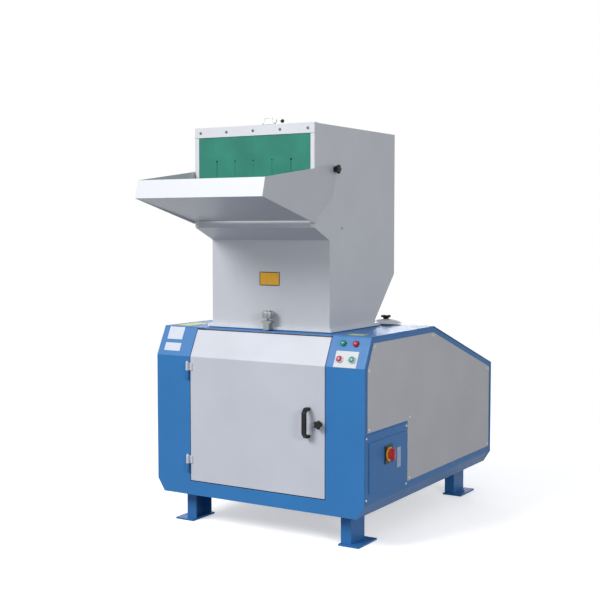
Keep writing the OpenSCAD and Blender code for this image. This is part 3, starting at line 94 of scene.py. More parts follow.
def surface(name, base, rough=0.4, metal=0.0, grain=900, grain_depth=0.00004, mottle=0.04,
            mottle_scale=4, rough_var=0.06, rough_scale=30, wear=None, wear_amount=0.0,
            stretch=(1, 1, 1), bevel=0.0007, coat=0.0, spec=0.5):
    """A procedural finish: uneven colour and gloss, a fine grain, softened edges and edge wear."""
    m = bpy.data.materials.new(name)
    m.use_nodes = True
    nt = m.node_tree
    nt.nodes.clear()
    place = shade(nt, "TexCoord").outputs["Object"]
    stretched = shade(nt, "Mapping", {"Vector": place, "Scale": stretch}).outputs["Vector"]

    def noise(vector, scale, detail):
        return shade(nt, "TexNoise", {"Vector": vector, "Scale": scale, "Detail": detail}).outputs["Fac"]

    patches = shade(nt, "ValToRGB", {"Fac": noise(place, mottle_scale, 5)})
    for k, position, share in ((0, 0.3, 1 - mottle), (1, 0.7, 1 + mottle)):
        patches.color_ramp.elements[k].position = position
        patches.color_ramp.elements[k].color = (*[min(1, c * share) for c in base], 1)
    colour = patches.outputs["Color"]
    if wear:
        # worn along the edges, where the softened normal turns away from the face
        soft = shade(nt, "Bevel", {"Radius": WEAR_RADIUS}, samples=4).outputs["Normal"]
        face = shade(nt, "NewGeometry").outputs["Normal"]
        same = shade(nt, "VectorMath", {0: soft, 1: face}, operation="DOT_PRODUCT").outputs["Value"]
        turn = shade(nt, "Math", {0: 1.0, 1: same}, operation="SUBTRACT").outputs[0]
        rubbed = shade(nt, "Math", {0: turn, 1: noise(place, 45, 6)}, operation="MULTIPLY").outputs[0]
        edge = shade(nt, "MapRange", {"Value": rubbed, "From Min": WEAR_FROM, "From Max": WEAR_TO,
                                      "To Max": wear_amount}).outputs["Result"]
        colour = shade(nt, "Mix", {"Factor": edge, "A": colour, "B": (*wear, 1)},
                       data_type="RGBA").outputs["Result"]
    gloss = shade(nt, "MapRange", {"Value": noise(stretched, rough_scale, 4),
                                   "To Min": max(0.02, rough - rough_var),
                                   "To Max": min(1, rough + rough_var)}).outputs["Result"]
    rounded = shade(nt, "Bevel", {"Radius": bevel}, samples=4).outputs["Normal"]
    bumped = shade(nt, "Bump", {"Strength": 0.6, "Distance": grain_depth, "Normal": rounded,
                                "Height": noise(stretched, grain, 3)}).outputs["Normal"]
    body = shade(nt, "BsdfPrincipled", {"Base Color": colour, "Metallic": metal, "Roughness": gloss,
                                        "Specular IOR Level": spec, "Coat Weight": coat,
                                        "Coat Roughness": 0.12, "Normal": bumped})
    shade(nt, "OutputMaterial", {0: body.outputs[0]})
    return m


def recolour(m, colour, in_front=None, highlight_facing=None, metal=0.0):
    """Changes a finish where a face lies in front of a depth, or paints a highlight where a face turns
    towards a direction, at rest.
    """
    nt = m.node_tree
    body = next(k for k in nt.nodes if k.type == "BSDF_PRINCIPLED")
    at = shade(nt, "TexCoord").outputs
    # faces turned towards the given direction get the colour as a painted highlight
    if highlight_facing:
        turned = shade(nt, "VectorMath", {0: at["Normal"], 1: Vector(highlight_facing).normalized()},
                       operation="DOT_PRODUCT").outputs["Value"]
        test = shade(nt, "Math", {0: turned, 1: HIGHLIGHT_FACING_SHARE}, operation="GREATER_THAN").outputs[0]
    else:
        depth = shade(nt, "SeparateXYZ", {0: at["Object"]}).outputs["Y"]
        test = shade(nt, "Math", {0: depth, 1: in_front}, operation="LESS_THAN").outputs[0]
    paint = body.inputs["Base Color"].links[0].from_socket
    both = shade(nt, "Mix", {"Factor": test, "A": paint, "B": (*colour, 1)}, data_type="RGBA")
    nt.links.new(both.outputs["Result"], body.inputs["Base Color"])
    if metal:
        share = shade(nt, "Math", {0: test, 1: metal}, operation="MULTIPLY")
        nt.links.new(share.outputs[0], body.inputs["Metallic"])


# What several finishes share
SHEET_GRAIN = {"grain": 420, "wear_amount": 0.4}
HOPPER_GRAIN = {"grain": 500, "grain_depth": 0.00006, "mottle": 0.03, "wear_amount": 0.5}
MOULDED = {"grain": 700, "grain_depth": 0.00001, "mottle": 0.05, "mottle_scale": 60}
PRINTED = {"grain": 600, "grain_depth": 0.00001}
WHITE_WEAR = {"wear": (0.6, 0.6, 0.62), "wear_amount": 0.5}
PLATED = {"grain_depth": 0.00002, "mottle": 0.1, "mottle_scale": 35, "rough_var": 0.1, "bevel": 0.0004}
MAT = {
    "cabinet_blue": surface("paint_blue", (0.027, 0.178, 0.455), 0.42, wear=(0.12, 0.26, 0.5),
                            wear_amount=0.5, spec=0.3),
    "frame_blue": surface("paint_blue_frame", (0.028, 0.16, 0.415), 0.45, wear=(0.1, 0.23, 0.46),
                          wear_amount=0.5, spec=0.25),
    "panel_grey": surface("paint_grey", (0.49, 0.495, 0.52), 0.5, grain_depth=0.00008,
                          wear=(0.7, 0.7, 0.72), **SHEET_GRAIN),
    "door_grey": surface("paint_light_grey", (0.55, 0.57, 0.63), 0.42, grain_depth=0.00006,
                         wear=(0.75, 0.76, 0.8), **SHEET_GRAIN),
    "hopper_grey": surface("paint_hopper", (0.55, 0.57, 0.61), 0.4, wear=(0.72, 0.73, 0.76),
                           **HOPPER_GRAIN),
    "trim_white": surface("paint_white", (0.71, 0.73, 0.765), 0.36, **WHITE_WEAR),
    "curtain_green": surface("curtain_rubber", (0.024, 0.222, 0.162), 0.55, grain=260,
                             grain_depth=0.00012, mottle=0.14, mottle_scale=9, bevel=0.0005, spec=0.3),
    "knob_black": surface("thermoset_black", (0.007, 0.007, 0.009), 0.4, grain=1800,
                          grain_depth=0.00003, mottle=0.2, mottle_scale=40, spec=0.28),
    "red_plastic": surface("moulded_red", (0.56, 0.02, 0.018), 0.25, coat=0.3, **MOULDED),
    "green_plastic": surface("moulded_green", (0.01, 0.3, 0.11), 0.25, coat=0.3, **MOULDED),
    "white_plastic": surface("moulded_white", (0.62, 0.63, 0.65), 0.5, grain=900, grain_depth=0.00002,
                             mottle=0.02, mottle_scale=30, spec=0.25),
    "steel": surface("ground_steel", (0.47, 0.48, 0.5), 0.34, 1.0, grain=140, grain_depth=0.00002,
                     mottle=0.08, mottle_scale=14, stretch=(1, 1, 14), rough_scale=60, rough_var=0.1),
    "zinc": surface("zinc_plate", (0.56, 0.57, 0.58), 0.32, 1.0, grain=500, **PLATED),
    "cast_iron": surface("cast_iron", (0.12, 0.13, 0.145), 0.55, 0.6, grain=260, grain_depth=0.0003,
                         mottle=0.2, mottle_scale=22, wear=(0.4, 0.41, 0.43), wear_amount=0.8),
    "belt_rubber": surface("belt_rubber", (0.016, 0.016, 0.017), 0.72, grain=900, grain_depth=0.00008,
                           mottle=0.3, mottle_scale=50),
    # finishes of single pieces, beside those of the record's slots
    "yellow": surface("plate_yellow", (0.78, 0.4, 0.012), 0.4, mottle=0.05, mottle_scale=40, **PRINTED),
    "plate_white": surface("plate_white", (0.62, 0.67, 0.75), 0.45, mottle=0.03, mottle_scale=30,
                           spec=0.3, **PRINTED),
    "border": surface("plate_border", (0.045, 0.03, 0.014), 0.4, mottle=0.1, mottle_scale=30,
                      **PRINTED),
    "pale_plate": surface("pale_plate", (0.3, 0.42, 0.56), 0.4, mottle=0.04, mottle_scale=30,
                          **PRINTED),
    "pale_yellow": surface("plate_pale_yellow", (0.5, 0.56, 0.24), 0.4, mottle=0.05, mottle_scale=40,
                           **PRINTED),
    "enamel": surface("white_enamel", (0.67, 0.685, 0.72), 0.55, mottle=0.03, mottle_scale=30,
                      spec=0.2, **PRINTED),
    # zinc set dark grey, for the bar screws and the screw ends
    "dull_zinc": surface("dark_zinc", (0.16, 0.165, 0.17), 0.5, 0.6, grain=500, **PLATED),
    "dull_steel": surface("turned_steel", (0.3, 0.32, 0.33), 0.42, 0.85, grain=400, grain_depth=0.00003,
                          mottle=0.1, mottle_scale=30, rough_var=0.1, bevel=0.0005),
    "lamp_green": surface("lens_green", (0.006, 0.25, 0.17), 0.2, spec=0.35, **MOULDED),
    "lamp_red": surface("lens_red", (0.36, 0.012, 0.05), 0.2, spec=0.35, **MOULDED),
    "flange": surface("paint_flange", (0.7, 0.72, 0.76), 0.36, **WHITE_WEAR),
    # the tray: the hopper grey set darker, a painted shade for its underside; its lip gets a painted
    # highlight below
    "tray": surface("tray_painted_shade_and_highlight", (0.49, 0.505, 0.54), 0.4, wear=(0.7, 0.71, 0.74), **HOPPER_GRAIN),
}

# The clamp lug is bare metal, and the tray's upturned lip carries a painted highlight where it faces the
# light, lighter than the sheet behind it
LUG_BACK = 96.5
recolour(MAT["flange"], (0.3, 0.33, 0.34), in_front=(LUG_BACK - FRONT_TO_ORIGIN) / 1000, metal=0.8)
recolour(MAT["tray"], (0.7, 0.72, 0.76), highlight_facing=(0, -1, 0.25))

OWN_FINISH = {"hopper_flange": "flange", "tray_hinges": "trim_white", "feed_tray": "tray",
              "button_plate": "enamel", "hold_down_disc": "enamel"}
for part in frame["record"]["subparts"]:
    for s in nodes[part["node"]].material_slots:
        s.material = MAT[OWN_FINISH.get(part["node"], part["material_slot"])]


# Mesh helpers

def mesh_of(name, verts, faces):
    """A mesh with its faces turned outwards."""
    me = bpy.data.meshes.new(name)
    me.from_pydata([tuple(v) for v in verts], [], faces)
    bm = bmesh.new()
    bm.from_mesh(me)
    bmesh.ops.recalc_face_normals(bm, faces=bm.faces)
    bm.to_mesh(me)
    bm.free()
    return me


def placed(name, data):
    """An object in the scene."""
    o = bpy.data.objects.new(name, data)
    bpy.context.scene.collection.objects.link(o)
    return o


def piece(name, verts, faces, body, slot, mat=None, bevel=0.0, stands_for=()):
    """A mesh that rides on a body, with its points in the row frame."""
    o = placed(name, mesh_of(name, verts, faces))
    o.data.materials.append(MAT[mat or slot])
    if bevel:
        mod = o.modifiers.new("bevel", "BEVEL")
        mod.width = bevel
        mod.segments = 3
        mod.limit_method = "ANGLE"
        mod.angle_limit = math.radians(30)
    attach(o, body)
    if stands_for:
        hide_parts(*stands_for)
    return o


def smooth_by(o, angle):
    """Smooth shading up to an angle between faces."""
    bm = bmesh.new()
    bm.from_mesh(o.data)
    for f in bm.faces:
        f.smooth = True
    for e in bm.edges:
        if len(e.link_faces) == 2 and e.calc_face_angle(0) > math.radians(angle):
            e.smooth = False
    bm.to_mesh(o.data)
    bm.free()


class Axes:
    """A local frame in millimetres: an origin, two directions and the one square to both."""

    def __init__(self, origin, u, v):
        self.o = Vector(origin)
        self.u = Vector(u).normalized()
        self.v = Vector(v).normalized()
        self.w = self.u.cross(self.v)

    def place(self, a, b, c):
        return self.o + self.u * a + self.v * b + self.w * c

    def at(self, a, b, c):
        return P(*self.place(a, b, c))

    def moved(self, a, b, c):
        return Axes(self.place(a, b, c), self.u, self.v)


def to_front(x, y, z):
    return Axes((x, y, z), (1, 0, 0), (0, 0, 1))


def to_side(x, y, z):
    """Looks out of the machine's right side, or of its left side where x is negative."""
    return Axes((x, y, z), (0, math.copysign(1, x), 0), (0, 0, 1))


def to_top(x, y, z):
    return Axes((x, y, z), (1, 0, 0), (0, 1, 0))


def on_slant(x, s):
    """On the slanted strip over the door, s up from its lower edge."""
    up = (0, math.sin(SLANT), math.cos(SLANT))
    return Axes((x, s * up[1], SLANT_LOW + s * up[2]), (1, 0, 0), up)


def skin(rings, segs, ends="capped"):
    """The faces of rings of points. The ends are capped, left open or joined to each other."""
    faces = []
    for k in range(rings if ends == "joined" else rings - 1):
        low, high = k * segs, (k + 1) % rings * segs
        for i in range(segs):
            j = (i + 1) % segs
            faces.append((low + i, low + j, high + j, high + i))
    if ends == "capped":
        faces.append(tuple(range(segs - 1, -1, -1)))
        faces.append(tuple((rings - 1) * segs + i for i in range(segs)))
    return faces


def lathe(axes, profile, segs=48, share=None, ends="capped"):
    """Rings of [radius, height] round the frame's third axis; share(angle, ring) scales a radius."""
    verts = []
    for k, (r, h) in enumerate(profile):
        for i in range(segs):
            a = 2 * math.pi * i / segs
            rr = r * (share(a, k) if share else 1)
            verts.append(axes.at(rr * math.cos(a), rr * math.sin(a), h))
    return verts, skin(len(profile), segs, ends)


def loft(axes, outline, levels):
    """An outline at levels of [height, share of the width, share of the length]."""
    verts = [axes.at(a * wide, b * long, h) for h, wide, long in levels for a, b in outline]
    return verts, skin(len(levels), len(outline))


def merge(parts):
    """Several [points, faces] as one."""
    verts, faces = [], []
    for v, f in parts:
        n = len(verts)
        verts += v
        faces += [tuple(i + n for i in face) for face in f]
    return verts, faces


def slab(axes, points, h0, h1):
    """An outline in the frame's plane, from height h0 to h1."""
    n = len(points)
    verts = [axes.at(a, b, h) for h in (h0, h1) for a, b in points]
    faces = [tuple(range(n - 1, -1, -1)), tuple(range(n, 2 * n))]
    faces += [(i, (i + 1) % n, n + (i + 1) % n, n + i) for i in range(n)]
    return verts, faces


def round_rect(x0, y0, x1, y1, r, k=5):
    """A rectangle's outline with corners of radius r in k steps."""
    pts = []
    for cx, cy, a0 in ((x1 - r, y0 + r, -90), (x1 - r, y1 - r, 0),
                       (x0 + r, y1 - r, 90), (x0 + r, y0 + r, 180)):
        for i in range(k + 1):
            a = math.radians(a0 + 90 * i / k)
            pts.append((cx + r * math.cos(a), cy + r * math.sin(a)))
    return pts


def tube(points, r, segs=14):
    """A round bar along points in millimetres."""
    pts = [Vector(p) for p in points]
    verts = []
    side = None
    for i, p in enumerate(pts):
        d = (pts[min(i + 1, len(pts) - 1)] - pts[max(i - 1, 0)]).normalized()
        if side is None:
            side = d.orthogonal().normalized()
        side = (side - d * side.dot(d)).normalized()
        up = d.cross(side)
        for k in range(segs):
            a = 2 * math.pi * k / segs
            verts.append(P(*(p + (side * math.cos(a) + up * math.sin(a)) * r)))
    return verts, skin(len(pts), segs)


def bent(points, r, k=6):
    """A polyline with its corners rounded to radius r, or to what half of the next stretch allows."""
    pts = [Vector(p) for p in points]
    out = [pts[0]]
    for a, b, c in zip(pts, pts[1:], pts[2:]):
        d1, d2 = (a - b).normalized(), (c - b).normalized()
        room = 0.49 * min((a - b).length, (c - b).length)
        cut = min(r / math.tan(max(0.05, d1.angle(d2) / 2)), room)
        p, q = b + d1 * cut, b + d2 * cut
        for i in range(k + 1):
            t = i / k
            out.append(p * (1 - t) ** 2 + b * 2 * t * (1 - t) + q * t ** 2)
    out.append(pts[-1])
    return out


# Knobs

THREAD_ROOT, STUD_STEPS = 0.86, 24


def star(name, axes, d, hub, h, node, stud, lobes=5, stud_r=4.0):
    """A moulded star knob with rounded lobes over a round hub, a blank cap and a threaded stud."""
    R, grip_h = d / 2, h - hub
    foot = [(0.5 * R, 0), (0.56 * R, 0.6), (0.54 * R, hub * 0.6), (0.6 * R, hub * 0.95)]
    grip = [(0.82 * R, hub + 0.6), (0.96 * R, hub + 2.6), (R, hub + grip_h * 0.4),
            (0.985 * R, hub + grip_h * 0.62), (0.93 * R, hub + grip_h * 0.8), (0.82 * R, h - 1.2),
            (0.66 * R, h - 0.3)]
    cap = [(0.5 * R, h - 0.05), (0.42 * R, h - 0.1), (0.4 * R, h - 0.9), (0.36 * R, h - 0.9),
           (0.34 * R, h - 0.2), (0.15 * R, h - 0.05)]

    def lobe(angle, k):
        lobed = len(foot) <= k < len(foot) + len(grip)
        return 0.86 + 0.14 * math.cos(lobes * angle) if lobed else 1.0

    smooth_by(piece(name, *lathe(axes, foot + grip + cap, 70, lobe), node, "knob_black",
                    stands_for=(node,)), 50)
    thread = [(stud_r * (1 if i % 2 else THREAD_ROOT), -stud * (1 - i / STUD_STEPS))
              for i in range(STUD_STEPS + 1)]
    smooth_by(piece(name + "_stud", *lathe(axes, thread, 20), node, "zinc"), 60)


star("star_knob_door", to_front(323, -0.3, 517), 40, 15, 30, "door_knob", 32)
star("star_knob_right", to_side(309.8, 140, 1573.5), 40, 8.7, 26, "tray_knob_right", 4.3)
star("star_knob_left", to_side(-309.8, 140, 1573.5), 40, 8.7, 26, "tray_knob_left", 4.3)
star("star_knob_deck", to_top(300, 640, 910.3), 48, 6, 18, "hold_down_knob", 20, lobes=7, stud_r=6)

# Bridge handle of the door: chamfered corners, solid feet and a round cap in each chamfer
HANDLE_X, HANDLE_Z = 267, 520
HANDLE_L, HANDLE_OUT, HANDLE_T, HANDLE_W, HANDLE_CUT = 64, 44, 13, 20, 18.5
HANDLE_INNER_CUT, HANDLE_CAP_IN = HANDLE_CUT * 0.42, HANDLE_CUT * 0.62
HANDLE_SUNK = 0.05


def bridge():
    """The handle's outline in the plane of the door's height and depth, run across its width."""
    end, back = HANDLE_L - HANDLE_T, HANDLE_OUT - HANDLE_T
    half = [(-HANDLE_SUNK, HANDLE_L), (-HANDLE_OUT + HANDLE_CUT, HANDLE_L),
            (-HANDLE_OUT, HANDLE_L - HANDLE_CUT)]
    hole = [(-back, end - HANDLE_INNER_CUT), (-back + HANDLE_INNER_CUT, end), (-HANDLE_SUNK, end)]
    pts = half + [(y, -z) for y, z in reversed(half)] + [(y, -z) for y, z in reversed(hole)] + hole
    bar = slab(to_side(HANDLE_X, 0, HANDLE_Z), pts, -HANDLE_W / 2, HANDLE_W / 2)
    o = piece("bridge_handle", *bar, "door", "knob_black", bevel=0.0026, stands_for=("door_handle",))
    caps = []
    for side in (1, -1):
        place = (HANDLE_X, -HANDLE_OUT + HANDLE_CAP_IN, HANDLE_Z + side * (HANDLE_L - HANDLE_CAP_IN))
        caps.append(lathe(Axes(place, (1, 0, 0), (0, side, 1)),
                          [(4.6, -3.4), (4.6, 0.25), (4.3, 0.5), (1.0, 0.6)], 24))
    smooth_by(piece("handle_caps", *merge(caps), "door", "knob_black"), 40)
    smooth_by(o, 30)


bridge()


# Screws

def screw_mesh(axes, r=5.0, h=2.5, socket=2.1):
    """A button head with a hexagon socket."""
    def hexagon(angle, k):
        if k < head:
            return 1.0
        return 0.93 / math.cos((angle + math.pi / 6) % (math.pi / 3) - math.pi / 6)

    rings = [(r, 0), (r, 0.5)]
    rings += [(r * (1 + math.cos(t)) / 2, 0.5 + (h - 0.5) * math.sin(t)) for t in (0.35, 0.7, 1.05, 1.4)]
    rings.append((socket * 1.25, h))
    head = len(rings)
    rings += [(socket, h - 0.05), (socket, h - 1.5), (socket * 0.3, h - 1.7)]
    return lathe(axes, rings, 24, hexagon)


def panel_corners(d):
    """The corners of the side panel's outline, moved in by d."""
    pts = [Vector(p) for p in ((0, PANEL_LOW), (CABINET_L, PANEL_LOW), (CABINET_L, BACK_HIGH),
                               (DECK_BACK, DECK_Z), (SLANT_DEPTH, DECK_Z), (0, SLANT_LOW))]
    res = []
    for a, b, c in zip(pts[-1:] + pts, pts, pts[1:] + pts[:1]):
        u, v = (b - a).normalized(), (c - b).normalized()
        p, q = Vector((-u.y, u.x)), Vector((-v.y, v.x))
        res.append(b + d * (p + q) / (1 + p.dot(q)))
    res[0].y = res[1].y = PANEL_EDGE + d
    return res


# Side panel screws. The right panel is cut out round the cover, which has four screws of its own
PANEL_SCREW_IN, COVER_SCREW_IN, NOTCH_GAP = 41, 13, 8
left = [tuple(p) for p in panel_corners(PANEL_SCREW_IN)]
notch_y, notch_z = COVER_BACK + COVER_SCREW_IN + NOTCH_GAP, COVER_HIGH + COVER_SCREW_IN + NOTCH_GAP
right = left[1:] + [(notch_y, left[0][1]), (notch_y, notch_z), (left[0][0], notch_z)]
right += [(y, z) for y in (COVER_FRONT + COVER_SCREW_IN, COVER_BACK - COVER_SCREW_IN)
          for z in (COVER_LOW + COVER_SCREW_IN, COVER_HIGH - COVER_SCREW_IN)]
heads = [screw_mesh(to_side(x, y, z)) for x, spots in ((SIDE_FACE, right), (-SIDE_FACE, left))
         for y, z in spots]
smooth_by(piece("panel_screw_heads", *merge(heads), "cabinet", "zinc", stands_for=("panel_screws",)), 35)

BAR_SCREW_X, BAR_FACE, BAR_Z = (-270.75, -135.375, 0, 135.375, 270.75), -12.7, 1736.5
heads = [screw_mesh(to_front(x, BAR_FACE, BAR_Z), 6, 3, 2.6) for x in BAR_SCREW_X]
smooth_by(piece("bar_screw_heads", *merge(heads), "hopper", "zinc", mat="dull_zinc",
                stands_for=("bar_screws",)), 35)

# Push buttons: turned caps with a dished face, each in a knurled fixing ring round its collar
CAP_H = 11
BUTTON_CAP = [(9, -14), (9, -0.5), (13.1, -0.4), (13.2, CAP_H - 1.6), (12.9, CAP_H - 0.7),
              (12.1, CAP_H - 0.2), (11.2, CAP_H), (10.2, CAP_H - 0.15), (8.4, CAP_H - 0.7),
              (5.4, CAP_H - 1.15), (1.8, CAP_H - 1.3)]
FIXING_RING = [(15.55, 2.02), (15.7, 2.02), (16.3, 2.3), (16.4, 4.4), (16.0, 4.9), (15.55, 5.0)]
RING_SEGS, KNURLED_FROM, KNURL_DEPTH = 72, 15.9, 0.25


def knurl(angle, k):
    """Every third point of the ring's outer faces lies a little deeper."""
    r = FIXING_RING[k][0]
    third = round(angle * RING_SEGS / (2 * math.pi)) % 3 == 0
    return 1 - KNURL_DEPTH / r if third and r > KNURLED_FROM else 1


for name, body, x, slot, mat in (("stop_cap", "stop_button", CONTROL_X[0], "red_plastic", "lamp_red"),
                                 ("start_cap", "start_button", CONTROL_X[1], "green_plastic",
                                  "lamp_green")):
    axes = on_slant(x, BUTTON_ROW)
    smooth_by(piece(name, *lathe(axes, BUTTON_CAP), body, slot, mat=mat, stands_for=(body,)), 40)
    smooth_by(piece(name + "_ring", *lathe(axes, FIXING_RING, RING_SEGS, knurl, ends="joined"),
                    "cabinet", "zinc"), 40)

# Pilot lamps: a lens with fluted sides in a turned bezel
LENS = [(12.3, 0), (12.4, 3.4), (12.2, 6.5), (11.4, 8.6), (9.7, 10.3), (7.0, 11.4), (3.4, 12.0),
        (1.1, 12.1)]
BEZEL = [(9, 0), (14.2, 0), (14.4, 0.4), (14.4, 2.4), (13.9, 3.3), (13.2, 3.6), (12.9, 3.4)]


def flute(angle, k):
    return 0.98 if 0 < k < 5 and math.cos(24 * angle) > 0 else 1


for name, node, x, slot, mat in (("green_lens", "green_lamp", CONTROL_X[0], "green_plastic",
                                  "lamp_green"),
                                 ("red_lens", "red_lamp", CONTROL_X[1], "red_plastic", "lamp_red")):
    axes = on_slant(x, LAMP_ROW)
    smooth_by(piece(name, *lathe(axes, LENS, share=flute), "cabinet", slot, mat=mat,
                    stands_for=(node,)), 30)
    smooth_by(piece(name + "_bezel", *lathe(axes, BEZEL), "cabinet", slot, mat=mat), 40)

# Isolator: yellow ring and a shaped red grip on a round hub
RING_X, GRIP_X, STEM_X = 540.7, 541.3, 530.5
YELLOW_RING = [(20.8, 0.2), (21.0, 0.65), (29.2, 0.65), (30.2, 0.1), (30.3, -3.2), (30.02, -3.4)]
smooth_by(piece("isolator_ring", *lathe(to_side(RING_X, *ISOLATOR), YELLOW_RING, 64, ends="open"),
                "cabinet", "white_plastic", mat="yellow"), 40)
hub = lathe(to_side(GRIP_X, *ISOLATOR),
            [(20.2, 0), (20.4, 0.5), (20.4, 3.2), (19.7, 4.1), (11, 4.4), (6, 4.4)])
grip = loft(to_side(GRIP_X, *ISOLATOR),
            [(5.5, -25), (6.5, -23), (6.5, 23), (5.5, 25), (-5.5, 25), (-6.5, 23), (-6.5, -23),
             (-5.5, -25)],
            [(3.9, 1, 1), (14, 0.72, 0.98), (21, 0.66, 0.96), (23.2, 0.6, 0.93), (24, 0.48, 0.88)])
stem = lathe(to_side(STEM_X, *ISOLATOR), [(7.9, 0), (7.9, 11)], 24)
smooth_by(piece("isolator_grip", *merge([hub, grip, stem]), "isolator", "red_plastic",
                stands_for=("isolator_handle",), bevel=0.0008), 35)

# Bare plates
PLATE_T, PLATE_GAP, BORDER_T = 0.8, 0.02, 0.25
PLATE_R, BORDER_R, RIVET_IN = 3, 2, 4.5
RIVET = [(1.7, 0), (1.6, 0.4), (1.1, 0.8), (0.4, 0.95)]


def plate(name, axes, x0, y0, x1, y1, mat, body, border=0):
    """Thin metal with rounded corners, a rivet in each corner and, where given, a raised border."""
    edge = round_rect(x0, y0, x1, y1, PLATE_R)
    piece(name, *slab(axes, edge, PLATE_GAP, PLATE_T), body, "white_plastic", mat=mat, bevel=0.0002)
    if border:
        inner = round_rect(x0 + border, y0 + border, x1 - border, y1 - border, BORDER_R)
        k = len(edge)
        verts = [axes.at(a, b, h) for h in (PLATE_T, PLATE_T + BORDER_T) for a, b in edge + inner]
        faces = []
        for i in range(k):
            j = (i + 1) % k
            faces += [(2 * k + i, 2 * k + j, 3 * k + j, 3 * k + i), (i, j, 2 * k + j, 2 * k + i),
                      (k + i, k + j, 3 * k + j, 3 * k + i)]
        piece(name + "_border", verts, faces, body, "white_plastic", mat="border")
    rivets = [lathe(axes.moved(a, b, PLATE_T), RIVET, 12)
              for a in (x0 + RIVET_IN, x1 - RIVET_IN) for b in (y0 + RIVET_IN, y1 - RIVET_IN)]
    smooth_by(piece(name + "_rivets", *merge(rivets), body, "zinc"), 60)


plate("neck_plate", to_front(0, 113, 0), -50, 1078, 54, 1138, "yellow", "hopper", border=4)
plate("name_plate_upper", on_slant(0, 0), -499, 77, -416, 137, "plate_white", "cabinet")
plate("name_plate_lower", on_slant(0, 0), -499, 22, -412, 60, "plate_white", "cabinet")
plate("deck_plate_front", to_top(0, 0, DECK_Z), 395, 86, 477, 142, "pale_yellow", "cabinet", border=2)
plate("deck_plate_left", to_top(0, 0, DECK_Z), -500, 90, -410, 262, "pale_yellow", "cabinet", border=2)
plate("cover_plate", to_side(SIDE_FACE + 3, 0, 0), 292, 306, 326, 392, "pale_plate", "cabinet")

# Screw ends in the nuts welded to the hopper's sides
ends = [lathe(to_side(x, 217, 1327), [(4.4, -0.1), (4.4, 0.5), (3.9, 0.9), (0.5, 0.9)], 24)
        for x in (304.5, -304.5)]
smooth_by(piece("side_screw_ends", *merge(ends), "hopper", "zinc", mat="dull_zinc"), 40)

# Curtain: one rubber sheet slit into flaps that hang a little unevenly
CURTAIN_HALF, CURTAIN_LOW, CURTAIN_TOP, CURTAIN_FACE, CURTAIN_T = 281, 1403, 1753, -10.4, 2.4
COLUMNS, ROWS = 120, 72
FLAPS, SLIT_TOP, HELD_TO = 6, 1612, 1716
OUTER_SLIT, INNER_SLIT = (1.1, 4.2), (0.4, 3.2)
# how far the flaps move at their lower end, and each flap's share of the lean
BOW, LEAN, CURL, RIPPLE, SET_BACK, LIFT = 1.6, 3.4, 1.6, 0.35, 0.4, 1.2
LEAN_SHARE = (0.9, 0.35, 0.7, 0.15, 0.8, 0.5)


def thick_sheet():
    """The whole curtain as a fine grid on both faces."""
    bm = bmesh.new()
    grid = {}
    for layer in (0, 1):
        for i in range(COLUMNS + 1):
            for j in range(ROWS + 1):
                grid[layer, i, j] = bm.verts.new(
                    P(-CURTAIN_HALF + 2 * CURTAIN_HALF * i / COLUMNS, CURTAIN_FACE + layer * CURTAIN_T,
                      CURTAIN_LOW + (CURTAIN_TOP - CURTAIN_LOW) * j / ROWS))

    def face(*corners):
        bm.faces.new([grid[corner] for corner in corners])

    for i in range(COLUMNS):
        for j in range(ROWS):
            face((0, i, j), (0, i + 1, j), (0, i + 1, j + 1), (0, i, j + 1))
            face((1, i, j), (1, i, j + 1), (1, i + 1, j + 1), (1, i + 1, j))
    for i in range(COLUMNS):
        face((0, i, 0), (1, i, 0), (1, i + 1, 0), (0, i + 1, 0))
        face((0, i, ROWS), (0, i + 1, ROWS), (1, i + 1, ROWS), (1, i, ROWS))
    for j in range(ROWS):
        face((0, 0, j), (0, 0, j + 1), (1, 0, j + 1), (1, 0, j))
        face((0, COLUMNS, j), (1, COLUMNS, j), (1, COLUMNS, j + 1), (0, COLUMNS, j + 1))
    me = bpy.data.meshes.new("curtain_flaps")
    bm.to_mesh(me)
    bm.free()
    return me


def cut_away(o, verts, faces):
    """Takes closed meshes out of an object's mesh."""
    cutter = placed("cut", mesh_of("cut", verts, faces))
    mod = o.modifiers.new("cut", "BOOLEAN")
    mod.operation = "DIFFERENCE"
    mod.solver = "EXACT"
    mod.use_self = True
    mod.object = cutter
    shown = o.evaluated_get(bpy.context.evaluated_depsgraph_get())
    me = bpy.data.meshes.new_from_object(shown)
    o.modifiers.clear()
    o.data = me
    bpy.data.objects.remove(cutter)


def hang(me):
    """Bows, leans and curls each flap, more towards its lower end."""
    bm = bmesh.new()
    bm.from_mesh(me)
    for v in bm.verts:
        x, z = v.co.x * 1000, v.co.z * 1000
        u = (x + CURTAIN_HALF) / (2 * CURTAIN_HALF) * FLAPS
        k = min(FLAPS - 1, max(0, int(u)))
        across = u - k
        drop = max(0.0, (HELD_TO - z) / (HELD_TO - CURTAIN_LOW))
        bow = BOW * math.sin(math.pi * across) * drop
        lean = LEAN * LEAN_SHARE[k] * drop ** 2
        curl = CURL * (across - 0.5) * (1 if k % 2 else -1) * drop ** 2
        ripple = RIPPLE * math.sin(z / 23 + k) * drop
        v.co.y += (bow + lean + curl + ripple + SET_BACK) / 1000
        v.co.z += LIFT * math.sin(1.7 * k) * drop / 1000
    bm.to_mesh(me)
    bm.free()


